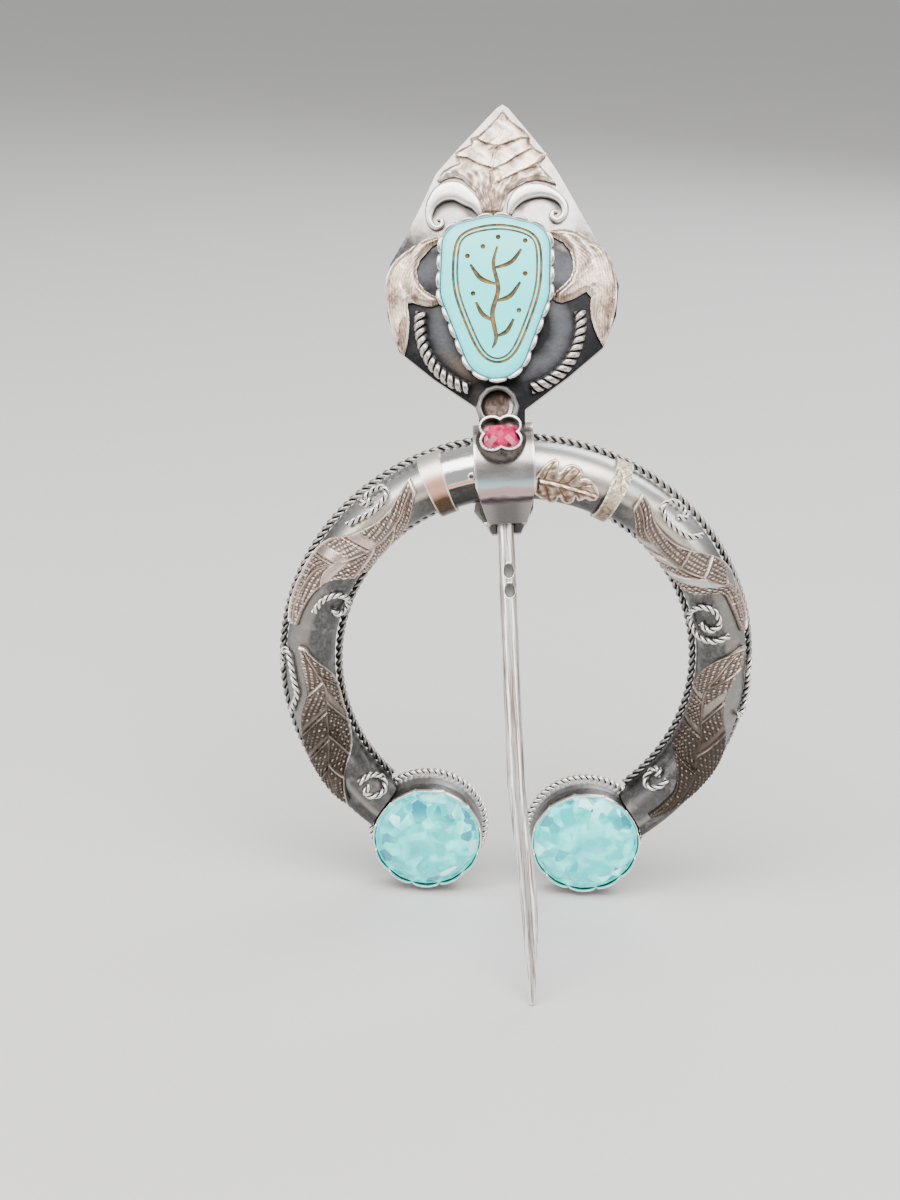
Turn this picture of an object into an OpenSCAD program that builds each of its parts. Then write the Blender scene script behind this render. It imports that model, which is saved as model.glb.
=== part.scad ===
// Ring brooch: an open ring of tube that ends in two stone-set terminals, and a pin that
// swings on the ring and carries a leaf-shaped head with an engraved plaque.
// X runs to the right, Y away from the front and Z up. The brooch stands by itself on its
// two terminals and the tip of its pin.

/* [Ring] */
// Radius from the ring's centre to the middle of its tube
ring_r = 22.5; // [22.4:0.1:22.6]
// Width of the tube in the two arms
arm_w = 5.2; // [5.1:0.05:5.2]
// Width of the fuller tube between the two bands
crown_w = 6.1; // [6:0.05:6.1]
// Height of the arm's straight flank, where the round front begins
flank_h = 2; // [1.9:0.05:2.1]
// Angle from the top of the ring to the middle of each band
band_angle = 24; // [23.5:0.1:24.2]
// Angle that the left band covers
left_band_arc = 5.4; // [4.5:0.1:5.4]
// Angle that the right band covers
right_band_arc = 4.2; // [3.5:0.1:4.4]
// Thickness of a band's metal
band_t = 0.3; // [0.2:0.05:0.4]
// Thickness of the twisted wire along the rims
wire_d = 0.84; // [0.8:0.02:0.84]
// Thickness of the twisted wire in a scroll
scroll_d = 0.7; // [0.6:0.05:0.75]
// Thickness of a leaf on the ring at its ribs
leaf_t = 0.6; // [0.5:0.05:0.7]

/* [Terminals] */
// Sideways distance from the middle of the ring to a terminal's centre
terminal_x = 8.9; // [8.8:0.05:9]
// Drop from the middle of the ring to a terminal's centre
terminal_drop = 20.5; // [20.4:0.05:20.6]
// Radius of a terminal's back rim, to the middle of its twisted wire
rim_r = 6.5; // [6.4:0.05:6.5]
// Radius of a terminal's wall
drum_r = 6.15; // [6.1:0.05:6.2]
// Height of the right terminal from its back to the rim that holds the stone
drum_h = 4.1; // [4:0.05:4.3]
// Height that the left terminal stands above the right one
left_rise = 0.4; // [0:0.1:0.6]
// Number of scallops in that rim
drum_scallops = 12; // [10:1:14]
// Height of a terminal stone above the rim
stone_rise = 0.9; // [0.7:0.1:1.2]

/* [Clasp and pin] */
// Angle from the top of the ring to the clasp, to the left when negative
clasp_angle = -5.9; // [-6.5:0.1:-5.7]
// Bore of the clasp's loop round the tube
loop_bore = 8.7; // [8.6:0.05:8.8]
// Thickness of the loop's sheet
loop_t = 0.65; // [0.6:0.05:0.7]
// Width of the loop along the tube
strap_w = 6.3; // [6:0.1:6.3]
// Distance from the middle of the tube to the foot of the clasp
strap_foot = 6.6; // [6.4:0.1:6.8]
// Diameter of the pin
pin_d = 1.8; // [1.7:0.05:1.8]
// Distance from the middle of the tube to the middle of the pin's rounded tip
pin_len = 55; // [54:0.5:56]
// Radius of the pin's rounded tip
tip_r = 0.3; // [0.25:0.05:0.35]

/* [Head] */
// Height of the head's point above the middle of the tube
head_top = 38.9; // [38.5:0.1:39.5]
// Thickness of the head's plate
plate_t = 1; // [0.9:0.05:1.1]
// Tilt of the head to the right of the pin's line
head_tilt = 3.2; // [2.8:0.1:3.4]
// Height of the cast leaves above the plate
relief_h = 0.8; // [0.6:0.05:1]
// Height of the plaque's collar above the plate
collar_h = 1.5; // [1.3:0.05:1.7]
// Radius of the empty setting at the head's foot
setting_r = 2.3; // [2.2:0.05:2.3]
// Angle of the small stone's cup above straight ahead, round the loop
cup_angle = 25; // [23:0.5:26]

/* [Stance] */
// Forward lean of the ring as it stands
ring_lean = 1.5; // [1:0.1:2]

/* [Hidden] */

// Space between two pieces that touch on the real brooch
gap = 0.06;
$fn = 96;

// Where the rim wires lie, beside the flanks of the arms
wire_off = arm_w / 2 + gap + wire_d / 2;
ledge_h = wire_d + gap;
crown_flank_h = flank_h + 0.05;
hinge_n = 2.3;
hinge_r = ring_r - 0.1;

// The ring's centre stands at this height when both terminals touch the surface
ring_z = (terminal_drop + rim_r) * cos(ring_lean) + wire_d / 2 * (1 + sin(ring_lean));

// The pin leans forward until its tip touches the same surface
tip_t = -0.27;
hinge_v = hinge_r * cos(clasp_angle);
tip_reach = ring_z + (hinge_v - tip_t * sin(clasp_angle)) * cos(ring_lean)
    - hinge_n * sin(ring_lean) - tip_r;
down_share = cos(clasp_angle) * cos(ring_lean);
front_share = sin(ring_lean);
rest_lean = atan2(front_share, down_share)
    + acos(tip_reach / pin_len / norm([down_share, front_share]));

// Plate in front of the middle of the loop, and the ring's place in depth, which puts the
// middle of the whole brooch on the Y axis
plate_front = 2.6;
plate_back = plate_front - plate_t;
tip_front = (hinge_n + pin_len * sin(rest_lean)) * cos(ring_lean)
    + (hinge_v - pin_len * cos(rest_lean) * cos(clasp_angle)) * sin(ring_lean) + tip_r;
head_back = (head_top * sin(rest_lean) - hinge_n - plate_back * cos(rest_lean)) * cos(ring_lean)
    - (hinge_v + head_top * cos(rest_lean)) * sin(ring_lean);
ring_y = (tip_front - head_back) / 2;

// Ends of the rim wires and arms, where they meet the terminals
terminal_r = norm([terminal_x, terminal_drop]);
terminal_angle = atan2(terminal_x, -terminal_drop);
rim_out = rim_r + wire_d / 2 + gap;
function wire_end(r) =
    terminal_angle - acos((r * r + terminal_r * terminal_r - rim_out * rim_out)
        / (2 * r * terminal_r)) - asin(wire_d / 2 / r);

// Each leaf on the ring: its sections from tip to tip. t is the angle round the ring from
// the top, and out and in are the leaf's two edges, as angles over the tube from its outer
// side, at 0, to its inner side, at 180.
//             t, out, in
upper_left = [
    [30, 48, 62], [34, 60, 112], [38, 74, 138], [44, 76, 162], [50, 60, 170], [55, 28, 165],
    [59, 12, 138], [63, 4, 92], [68, 4, 70], [74, 8, 57], [79, 28, 52]
];
lower_left = [
    [84, 66, 82], [88, 72, 112], [92, 78, 142], [98, 84, 170], [104, 60, 176], [111, 40, 176],
    [118, 24, 148], [123, 18, 108], [128, 24, 80], [132, 46, 62]
];
upper_right = [
    [30, 58, 76], [33, 62, 118], [37, 86, 150], [43, 90, 168], [48, 78, 172], [53, 48, 172],
    [57, 22, 156], [61, 6, 122], [64, 4, 66], [69, 4, 54], [73, 8, 48], [76, 28, 42]
];
lower_right = [
    [80, 38, 52], [83, 44, 112], [88, 62, 152], [94, 82, 176], [100, 76, 176], [106, 50, 176],
    [114, 22, 174], [119, 30, 128], [125, 48, 96], [131, 62, 92], [136, 80, 94]
];
oak = [
    [3.2, 60, 116], [5, 47, 140], [8, 45, 148], [9.6, 57, 134], [11.6, 52, 131], [13.2, 63, 115],
    [14.8, 61, 112], [17.4, 66, 102], [19, 75, 88]
];

// Each scroll of wire: points of its middle line, as angles t round the ring and s over
// the tube, chosen as on the leaves
//                t, s
left_band_line = [
    [49, 42], [46, 50], [41.5, 58], [37.5, 50], [36.2, 34], [37.6, 16], [40.6, 11], [43, 20],
    [42.4, 34], [40.4, 33]
];
left_middle_line = [[73.5, 82], [69.5, 90], [66.5, 112], [67, 142], [70.5, 156], [72.5, 136], [71, 118]];
left_edge_line = [
    [90.4, 30], [91, 17], [88.8, 11], [86.8, 22], [87, 40], [89.5, 50], [94, 58], [98, 62],
    [101.5, 44], [103.5, 30]
];
left_foot_line = [[129, 108], [130, 140], [134, 160], [136.6, 140], [135.6, 114], [132.8, 104], [132, 122]];
right_band_line = [
    [48.6, 34], [46.4, 58], [42.6, 68], [38.6, 66], [36, 48], [37.8, 22], [40.8, 16], [42.6, 34],
    [40.8, 46]
];
right_middle_line = [
    [75.6, 76], [76.6, 112], [74.6, 150], [70.4, 163], [66.6, 146], [65.4, 116], [68, 92],
    [72, 92], [73, 116], [70.6, 130]
];
right_edge_line = [[98.5, 50], [99.4, 24], [96, 12], [91.6, 14], [88, 26], [86.4, 15], [84.4, 12]];
right_foot_line = [[124.2, 122], [127.6, 124], [130.4, 140], [129.8, 162], [126.4, 168], [124, 152], [126, 142]];

// The head's outline, clockwise from its point, with y above the hinge
head_outline = [
    [0, head_top], [0.6, head_top - 0.4], [4, 34.3], [5.9, 31.4], [8.2, 27.2], [9.9, 24.1],
    [11.5, 21.6], [12.2, 19.2], [11.9, 16], [10.5, 12.6], [6.9, 9.5], [2.4, 6.1], [2.4, 4],
    [-2.4, 4], [-2.4, 6.1], [-7.1, 9.3], [-10.8, 12.3], [-12, 16], [-12.3, 19.2], [-11.8, 21.6],
    [-10.4, 24.1], [-8.9, 27.2], [-7, 31.4], [-4.5, 34.3], [-0.6, head_top - 0.4]
];
top_leaf_outline = [
    [0, 38.2], [2, 36.1], [3.9, 34], [4.3, 33], [5.4, 31.3], [3.9, 31], [2, 30.2], [0.7, 29],
    [0.3, 27.2], [-1.7, 27.2], [-2.1, 29], [-3.3, 30.3], [-5.3, 31.1], [-6.6, 31.3],
    [-5.7, 32.5], [-4.7, 33.6], [-2.6, 36]
];
// The right one of the two side leaves, measured from the line midway between them
ornament_x = -0.7;
side_leaf_outline = [
    [5.3, 25.3], [8.1, 25], [13, 25], [13, 12], [10.4, 12.4], [9.7, 14.8], [9.6, 17.7],
    [8.6, 18.3], [6.7, 17.7], [5.7, 17.8], [7.4, 19.3], [8.1, 20.6], [7.8, 22.5], [6.7, 24]
];
// Plaque outline: circles whose common envelope is its egg shape
//               x, y, radius
plaque_circles = [
    [-3.5, 23.4, 2.1], [3.5, 23.4, 2.1], [0, 21.1, 5.1], [-1.95, 18.6, 3.8], [1.75, 18.6, 3.8],
    [0, 12.4, 3.3]
];
plaque_x = -0.65;
collar_wall = 0.3;

// Frames of the ring and of the clasp. In both, x runs along the piece, y up it and z out
// of its front.
module in_ring() {
    translate([0, ring_y, ring_z]) rotate([90 + ring_lean, 0, 0]) children();
}

module in_clasp() {
    in_ring()
        translate([hinge_r * sin(clasp_angle), hinge_r * cos(clasp_angle), hinge_n])
        rotate([0, 0, -clasp_angle])
        rotate([-rest_lean, 0, 0])
        children();
}

module in_head() {
    in_clasp() translate([-0.3, 0, plate_front]) rotate([0, 0, -head_tilt]) children();
}

module on_left() {
    in_ring() mirror([1, 0, 0]) children();
}

// Turns a flat section round the ring, from angle a to angle b
module ring_arc(a, b) {
    rotate([0, 0, 90 - b]) rotate_extrude(angle = b - a) children();
}

// A point over the arm's round front, at angle t round the ring and s over the tube
function over(t, s, lift, w = arm_w, h = flank_h) =
    let (d = w / 2 + lift, r = ring_r + d * cos(s))
    [r * sin(t), r * cos(t), h + d * sin(s)];
function outwards(t, s) = [cos(s) * sin(t), cos(s) * cos(t), sin(s)];
function unit(v) = v / norm(v);

// A curve through points, with k steps from each to the next
function through(p, k) =
    let (n = len(p))
    [for (i = [0:n - 2], j = [0:k - 1])
        let (u = j / k, a = p[max(i - 1, 0)], b = p[i], c = p[i + 1], d = p[min(i + 2, n - 1)])
        b + u / 2 * ((c - a) + u * ((2 * a - 5 * b + 4 * c - d) + u * (3 * b - a - 3 * c + d))),
    p[n - 1]];

// A solid between a grid of points, rows of m, and the same grid behind it
module grid_solid(front, back, rows, m) {
    n = rows * m;
    across = [for (i = [0:rows - 2], j = [0:m - 2]) i * m + j];
    polyhedron(concat(front, back), concat(
        [for (a = across) [a, a + m + 1, a + 1]],
        [for (a = across) [a, a + m, a + m + 1]],
        [for (a = across) [n + a, n + a + 1, n + a + m + 1]],
        [for (a = across) [n + a, n + a + m + 1, n + a + m]],
        [for (j = [0:m - 2]) [j, j + 1, n + j + 1, n + j]],
        [for (j = [n - m:n - 2]) [j, n + j, n + j + 1, j + 1]],
        [for (i = [0:rows - 2]) let (a = i * m) [a, n + a, n + a + m, a + m]],
        [for (i = [0:rows - 2]) let (a = i * m + m - 1) [a, a + m, n + a + m, n + a]]
    ), convexity = 6);
}

// A leaf laid over the tube, with a rib down its middle and a rim along each edge
module leaf(sections, w, h, m = 8) {
    rows = through(sections, 2);
    ribs = [for (j = [0:m]) j == 0 || j == m || j == m / 2 ? 1 : 0.62];
    front = [for (r = rows, j = [0:m])
        over(r[0], r[1] + (r[2] - r[1]) * j / m, gap + leaf_t * ribs[j], w, h)];
    back = [for (r = rows, j = [0:m]) over(r[0], r[1] + (r[2] - r[1]) * j / m, gap, w, h)];
    grid_solid(front, back, len(rows), m + 1);
}

// Round wire along points p, where up[i] is square to the wire at p[i] and d[i] its diameter
module wire_along(p, up, d, sides) {
    n = len(p);
    rings = [for (i = [0:n - 1])
        let (
            go = unit(p[min(i + 1, n - 1)] - p[max(i - 1, 0)]),
            side = unit(cross(go, up[i])),
            top = cross(side, go)
        )
        for (k = [0:sides - 1])
            p[i] + d[i] / 2 * (cos(360 * k / sides) * side + sin(360 * k / sides) * top)];
    polyhedron(rings, concat(
        [[for (k = [0:sides - 1]) sides - 1 - k]],
        [[for (k = [0:sides - 1]) (n - 1) * sides + k]],
        [for (i = [0:n - 2], k = [0:sides - 1])
            let (a = i * sides + k, b = i * sides + (k + 1) % sides)
            [a, b, b + sides, a + sides]]
    ), convexity = 6);
}

// A scroll of wire laid over the arm
module scroll(line) {
    path = through(line, 3);
    wire_along(
        [for (q = path) over(q[0], q[1], gap + scroll_d / 2)],
        [for (q = path) outwards(q[0], q[1])],
        [for (q = path) scroll_d],
        8
    );
}

module arm_section() {
    translate([ring_r, flank_h]) circle(d = arm_w);
    translate([ring_r - arm_w / 2, 0]) square([arm_w, flank_h]);
}

module crown_section() {
    intersection() {
        translate([ring_r, crown_flank_h]) circle(d = crown_w);
        translate([ring_r - crown_w, ledge_h]) square([2 * crown_w, crown_w]);
    }
}

module hoop() {
    color("silver") in_ring() difference() {
        union() {
            ring_arc(-terminal_angle + 6, terminal_angle - 6) arm_section();
            ring_arc(-band_angle, band_angle) crown_section();
        }
        for (side = [-1, 1]) translate([side * terminal_x, -terminal_drop, -1]) {
            cylinder(r = drum_r + 0.1 + gap, h = 10);
            cylinder(r = rim_out, h = 1 + wire_d + gap);
        }
    }
}

module rim_wire(r) {
    ring_arc(-wire_end(r), wire_end(r)) translate([r, wire_d / 2]) circle(d = wire_d, $fn = 32);
}

module outer_rim_wire() {
    color("gray") in_ring() rim_wire(ring_r + wire_off);
}

module inner_rim_wire() {
    color("gray") in_ring() rim_wire(ring_r - wire_off);
}

module band(middle, arc) {
    ring_arc(middle - arc / 2, middle + arc / 2) difference() {
        translate([ring_r, crown_flank_h]) circle(d = crown_w + 2 * gap + 2 * band_t);
        translate([ring_r, crown_flank_h]) circle(d = crown_w + 2 * gap);
        translate([ring_r - crown_w, 0]) square([crown_w, 1.5]);
        translate([ring_r, 0]) square([crown_w, ledge_h + gap]);
        translate([ring_r - crown_w, -crown_w]) square([2 * crown_w, crown_w]);
    }
}

module left_band() {
    color("wheat") on_left() band(band_angle, left_band_arc);
}

module right_band() {
    color("darkkhaki") in_ring() band(band_angle - 0.6, right_band_arc);
}

module oak_leaf() {
    color("tan") in_ring() leaf(oak, crown_w, crown_flank_h, 6);
}

module upper_left_leaf() {
    color("rosybrown") on_left() leaf(upper_left, arm_w, flank_h);
}

module lower_left_leaf() {
    color("rosybrown") on_left() leaf(lower_left, arm_w, flank_h);
}

module upper_right_leaf() {
    color("rosybrown") in_ring() leaf(upper_right, arm_w, flank_h);
}

module lower_right_leaf() {
    color("rosybrown") in_ring() leaf(lower_right, arm_w, flank_h);
}

module left_band_scroll() {
    color("gainsboro") on_left() scroll(left_band_line);
}

module left_middle_scroll() {
    color("gainsboro") on_left() scroll(left_middle_line);
}

module left_edge_scroll() {
    color("gainsboro") on_left() scroll(left_edge_line);
}

module left_foot_scroll() {
    color("gainsboro") on_left() scroll(left_foot_line);
}

module right_band_scroll() {
    color("gainsboro") in_ring() scroll(right_band_line);
}

module right_middle_scroll() {
    color("gainsboro") in_ring() scroll(right_middle_line);
}

module right_edge_scroll() {
    color("gainsboro") in_ring() scroll(right_edge_line);
}

module right_foot_scroll() {
    color("gainsboro") in_ring() scroll(right_foot_line);
}

// A terminal: a round box with a wire round its back, and a scalloped rim for the stone
stone_seat = 2.5;
rim_wall = 0.35;
scallop_d = 1.5;
module terminal(h) {
    difference() {
        rotate_extrude() union() {
            translate([rim_r, wire_d / 2]) circle(d = wire_d, $fn = 32);
            square([rim_r, wire_d / 2 + 0.2]);
            square([drum_r, stone_seat + h - drum_h]);
            translate([drum_r - rim_wall, 0]) square([rim_wall, h]);
        }
        for (i = [0:drum_scallops - 1]) rotate([0, 0, 360 * (i + 0.5) / drum_scallops])
            translate([drum_r - 2, 0, h + 0.5]) rotate([0, 90, 0])
            cylinder(d = scallop_d, h = 4, $fn = 24);
    }
}

module left_terminal() {
    color("dimgray") in_ring() translate([-terminal_x, -terminal_drop, 0])
        terminal(drum_h + left_rise);
}

module right_terminal() {
    color("dimgray") in_ring() translate([terminal_x, -terminal_drop, 0]) terminal(drum_h);
}

// A cut stone: a girdle, a ring of upper facets and a table
module cut_stone(r, base, girdle, table, sides) {
    hull() {
        translate([0, 0, base]) cylinder(r = r * 0.9, h = 0.01, $fn = 2 * sides);
        translate([0, 0, girdle]) cylinder(r = r, h = 0.15, $fn = 2 * sides);
        translate([0, 0, girdle + (table - girdle) * 0.62]) rotate([0, 0, 180 / sides])
            cylinder(r = r * 0.84, h = 0.01, $fn = sides);
        translate([0, 0, table - 0.01]) cylinder(r = r * 0.58, h = 0.01, $fn = sides);
    }
}

module terminal_stone() {
    cut_stone(drum_r - rim_wall - gap, stone_seat + gap, 3.1, drum_h + stone_rise, 8);
}

module left_stone() {
    color("paleturquoise") in_ring() translate([-terminal_x, -terminal_drop, left_rise])
        terminal_stone();
}

module right_stone() {
    color("paleturquoise") in_ring() translate([terminal_x, -terminal_drop, 0])
        rotate([0, 0, 13]) terminal_stone();
}

// The strap's section: a loop whose two ends run down to a foot of half-thickness foot_t.
// x runs up the clasp and y out of its front.
function touch(r, foot, foot_t) =
    let (a = atan2(foot_t, foot) + acos(r / norm([foot, foot_t])))
    [-r * cos(a), r * sin(a)];

module drop_shape(r, foot, foot_t) {
    p = touch(r, foot, foot_t);
    circle(r = r);
    polygon([[0, 0], p, [-foot, foot_t], [-foot, -foot_t], [p[0], -p[1]]]);
}

loop_r = loop_bore / 2 + loop_t;
module strap_section() {
    difference() {
        drop_shape(loop_r, strap_foot, 1.4);
        drop_shape(loop_bore / 2, strap_foot - 1.3, 0.6);
    }
}

// Outline of the strap's front or back sheet, which narrows from y = -bend to its end
module sheet_outline(bend, end, end_w, shift) {
    polygon([
        [-strap_w / 2, 6], [strap_w / 2, 6], [strap_w / 2, -1], [strap_w / 2 + shift, -bend],
        [end_w / 2 + shift / 2, -end], [-end_w / 2 + shift / 2, -end],
        [-strap_w / 2 + shift, -bend], [-strap_w / 2, -1]
    ]);
}

module strap() {
    color("darkgray") in_clasp() difference() {
        intersection() {
            rotate([90, 0, 90]) linear_extrude(height = 9, center = true) strap_section();
            union() {
                linear_extrude(height = 6) sheet_outline(2.2, strap_foot - 0.8, 4, 0);
                translate([0, 0, -6]) linear_extrude(height = 6)
                    sheet_outline(3.8, strap_foot, 3, -0.4);
            }
        }
        pin_line() translate([0, 0, pin_top - gap]) cylinder(d = pin_d + 2 * gap, h = 6);
    }
}

// The pin's straight part runs down from the strap's foot, and its lower part is bent a
// little to the right and tapers to the tip
pin_top = strap_foot - 1.2;
straight_end = 33;
pin_yaw = 0.8;
module pin_line() {
    translate([-0.2, 0, 0]) rotate([0, 0, -pin_yaw]) rotate([90, 0, 0]) children();
}

straight_t = -0.2 - straight_end * sin(pin_yaw);
//         x, y, diameter
pin_bend = [
    [straight_t, -straight_end * cos(pin_yaw) + 0.5, pin_d - 0.03], [-0.5, -36.5, pin_d - 0.03],
    [-0.22, -40.5, pin_d - 0.03], [-0.02, -44, pin_d - 0.05], [0, -47, 1.7], [-0.08, -50, 1.4],
    [-0.18, -52.6, 1],
    [tip_t, -pin_len + 0.15, 0.66], [tip_t, -pin_len - 0.22, 0.4]
];
module pin() {
    color("lightgray") in_clasp() {
        pin_line() translate([0, 0, pin_top]) cylinder(d = pin_d, h = straight_end - pin_top, $fn = 48);
        bend = through(pin_bend, 3);
        wire_along([for (q = bend) [q[0], q[1], 0]], [for (q = bend) [0, 0, 1]], [for (q = bend) q[2]], 24);
    }
}

module both_sides() {
    children();
    mirror([1, 0, 0]) children();
}

// A curl of sheet that rises from the plaque and rolls in on itself
curl_steps = 18;
function curl_point(u, off) =
    let (
        a = 185 - 350 * u,
        r = 2.9 - 2.1 * u + off,
        c = [4.3 + 1.4 * u, 27.6 - 0.8 * u]
    )
    c + r * [cos(a), sin(a)];
module curl_outline() {
    polygon(concat(
        [for (i = [0:curl_steps]) curl_point(i / curl_steps, 0.45)],
        [for (i = [curl_steps:-1:0]) curl_point(i / curl_steps, -0.45)]
    ));
}

module plaque_outline(grow) {
    translate([plaque_x, 0]) hull()
        for (c = plaque_circles) translate([c[0], c[1]]) circle(r = c[2] + grow, $fn = 48);
}

// The two arcs of coarse wire beside the plaque's foot
rope_r = 7;
rope_d = 1;
rope_start = -76;
rope_turn = 88;
module ropes() {
    translate([-0.2, 0]) both_sides() translate([1.4, 15, 0.2]) rotate([0, 0, rope_start])
        rotate_extrude(angle = rope_turn) translate([rope_r, 0]) circle(d = rope_d, $fn = 24);
}

module head_plate() {
    color("silver") difference() {
        in_head() union() {
            translate([0, 0, -plate_t]) linear_extrude(height = plate_t) polygon(head_outline);
            linear_extrude(height = relief_h) polygon(top_leaf_outline);
            linear_extrude(height = relief_h) intersection() {
                polygon(head_outline);
                translate([ornament_x, 0]) both_sides() {
                    polygon(side_leaf_outline);
                    curl_outline();
                }
            }
            ropes();
            linear_extrude(height = collar_h) plaque_outline(collar_wall);
        }
        in_head() translate([0, 0, 0.4]) linear_extrude(height = collar_h) plaque_outline(0);
        loop_space();
    }
}

// The plaque: a flat stone with a bevelled edge, which fills its collar
module plaque() {
    color("mediumturquoise") in_head() hull() {
        translate([0, 0, 0.4 + gap]) linear_extrude(height = 1.1) plaque_outline(-gap);
        translate([0, 0, 0.4 + gap]) linear_extrude(height = 1.6) plaque_outline(-0.75);
    }
}

// The cups stand on the front of the loop and the foot of the head. z runs along each.
module on_loop() {
    in_clasp() translate([-0.25, 0, 0]) rotate([-cup_angle, 0, 0]) translate([0, 0, loop_r]) children();
}

module loop_space() {
    in_clasp() rotate([0, 90, 0]) cylinder(r = loop_r + gap, h = 20, center = true);
}

cup_r = 2.65;
module empty_setting() {
    color("gray") difference() {
        in_clasp() translate([-0.4, 6.25, plate_front + gap]) difference() {
            rotate_extrude() polygon([
                [0, 0], [setting_r, 0], [setting_r, 1.1], [setting_r - 0.35, 1.4], [0, 1.4]
            ]);
            translate([0, 0, 0.4]) cylinder(r = setting_r - 0.7, h = 2);
        }
        loop_space();
        on_loop() translate([0, 0, -1]) cylinder(r = cup_r + gap, h = 4);
    }
}

lobe_off = 0.88;
lobe_r = 1.29;
lobe_wall = 0.15;
module four_lobes(r) {
    square(lobe_off, center = true);
    for (x = [-1, 1], y = [-1, 1]) translate([x * lobe_off, y * lobe_off]) circle(r = r, $fn = 40);
}

belly_r = 1.65;
belly_z = 0.6;
cup_floor = 1.2;
cup_h = 2.05;
module stone_cup() {
    color("dimgray") difference() {
        on_loop() union() {
            rotate_extrude() intersection() {
                translate([cup_r - belly_r, belly_z]) circle(r = belly_r);
                translate([0, -0.7]) square([3, 0.7 + cup_floor]);
            }
            translate([0, 0, -0.2]) cylinder(r = 1, h = 1.2);
            translate([0, 0, 1]) linear_extrude(height = cup_h - 1) four_lobes(lobe_r);
        }
        on_loop() translate([0, 0, cup_floor]) linear_extrude(height = 2)
            four_lobes(lobe_r - lobe_wall);
        loop_space();
    }
}

small_stone_r = 1.8;
small_stone_w = 2.9;
module small_stone() {
    color("crimson") on_loop() intersection() {
        rotate([0, 0, 22.5]) cut_stone(small_stone_r, cup_floor + gap, 1.35, 2.1, 8);
        linear_extrude(height = 4) square(small_stone_w, center = true);
    }
}

hoop();
outer_rim_wire();
inner_rim_wire();
left_band();
right_band();
oak_leaf();
upper_left_leaf();
lower_left_leaf();
upper_right_leaf();
lower_right_leaf();
left_band_scroll();
left_middle_scroll();
left_edge_scroll();
left_foot_scroll();
right_band_scroll();
right_middle_scroll();
right_edge_scroll();
right_foot_scroll();
left_terminal();
right_terminal();
left_stone();
right_stone();
strap();
pin();
head_plate();
plaque();
empty_setting();
stone_cup();
small_stone();
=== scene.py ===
# %% [markdown]
# # A ring brooch with a swinging pin, dressed in Blender
# The brooch is an open ring of silver tube that ends in two round terminals. A strap swings on
# the ring and carries a pin below and a leaf-shaped head above. The solid model gives every
# size and place. This script models what a jeweller adds by hand (twisted wire, cast leaves,
# settings) and gives each piece its finish.

# %% Load the frame
import math

import bpy
import numpy as np
from mathutils import Matrix, Vector


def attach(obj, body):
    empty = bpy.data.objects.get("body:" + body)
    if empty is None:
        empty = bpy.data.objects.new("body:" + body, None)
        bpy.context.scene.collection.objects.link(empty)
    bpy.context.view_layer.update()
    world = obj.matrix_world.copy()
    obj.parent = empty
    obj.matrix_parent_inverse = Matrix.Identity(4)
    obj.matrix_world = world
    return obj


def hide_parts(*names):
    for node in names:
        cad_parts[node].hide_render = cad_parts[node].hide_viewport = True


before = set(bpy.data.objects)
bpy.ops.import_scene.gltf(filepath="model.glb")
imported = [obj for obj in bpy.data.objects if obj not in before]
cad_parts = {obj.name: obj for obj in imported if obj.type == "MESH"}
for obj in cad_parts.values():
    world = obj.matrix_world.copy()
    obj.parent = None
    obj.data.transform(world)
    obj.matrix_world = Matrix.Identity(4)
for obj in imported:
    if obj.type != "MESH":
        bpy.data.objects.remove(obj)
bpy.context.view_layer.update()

print("loaded", len(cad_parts), "solid pieces")

# %% [markdown]
# ## Measures
# A brooch is easiest to think of in millimetres, and each part of it in its own frame: x along
# the piece, y up it and z out of its front. The frames repeat the solid model's own values, so
# that a piece made flat on the bench lands where it belongs on the leaning ring.

# %% The ring's and the clasp's measures, in millimetres
MM = 0.001
ring_r, arm_w, crown_w, flank_h = 22.5, 5.2, 6.1, 2.0
wire_d, scroll_d, gap = 0.84, 0.7, 0.06
terminal_x, terminal_drop, rim_r, drum_r, drum_h, left_rise = 8.9, 20.5, 6.5, 6.15, 4.1, 0.4
ring_y, ring_z, ring_lean = 7.235985, 27.421742, 1.5
clasp_angle, hinge_r, hinge_n, rest_lean = -5.9, 22.4, 2.3, 27.1824
loop_r, head_tilt, cup_angle = 5.0, 3.2, 25.0
print("the ring is", round(2 * (ring_r + gap + wire_d) + arm_w, 2), "mm across")


def shift(x, y, z):
    return Matrix.Translation((x, y, z))


def turn(degrees, axis):
    return Matrix.Rotation(math.radians(degrees), 4, axis)


# %% The frames of the ring, the clasp, the head and the stone cup
on_ring = shift(0, ring_y, ring_z) @ turn(90 + ring_lean, "X")
on_left = on_ring @ Matrix.Scale(-1, 4, (1, 0, 0))
hinge_a = math.radians(clasp_angle)
on_clasp = (on_ring @ shift(hinge_r * math.sin(hinge_a), hinge_r * math.cos(hinge_a), hinge_n)
            @ turn(-clasp_angle, "Z") @ turn(-rest_lean, "X"))
on_head = on_clasp @ shift(-0.3, 0, 2.6) @ turn(-head_tilt, "Z")
on_cup = on_clasp @ shift(-0.25, 0, 0) @ turn(-cup_angle, "X") @ shift(0, 0, loop_r)
print("head frame starts at", [round(v, 2) for v in on_head.translation])

# %% [markdown]
# ## Camera
# The photograph looks down on the brooch from a hand's width away, a little from the left. The
# lens and place below were found by laying the ring's circle and the terminals over the
# picture. The camera comes first, because every later choice is judged through it.

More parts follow.
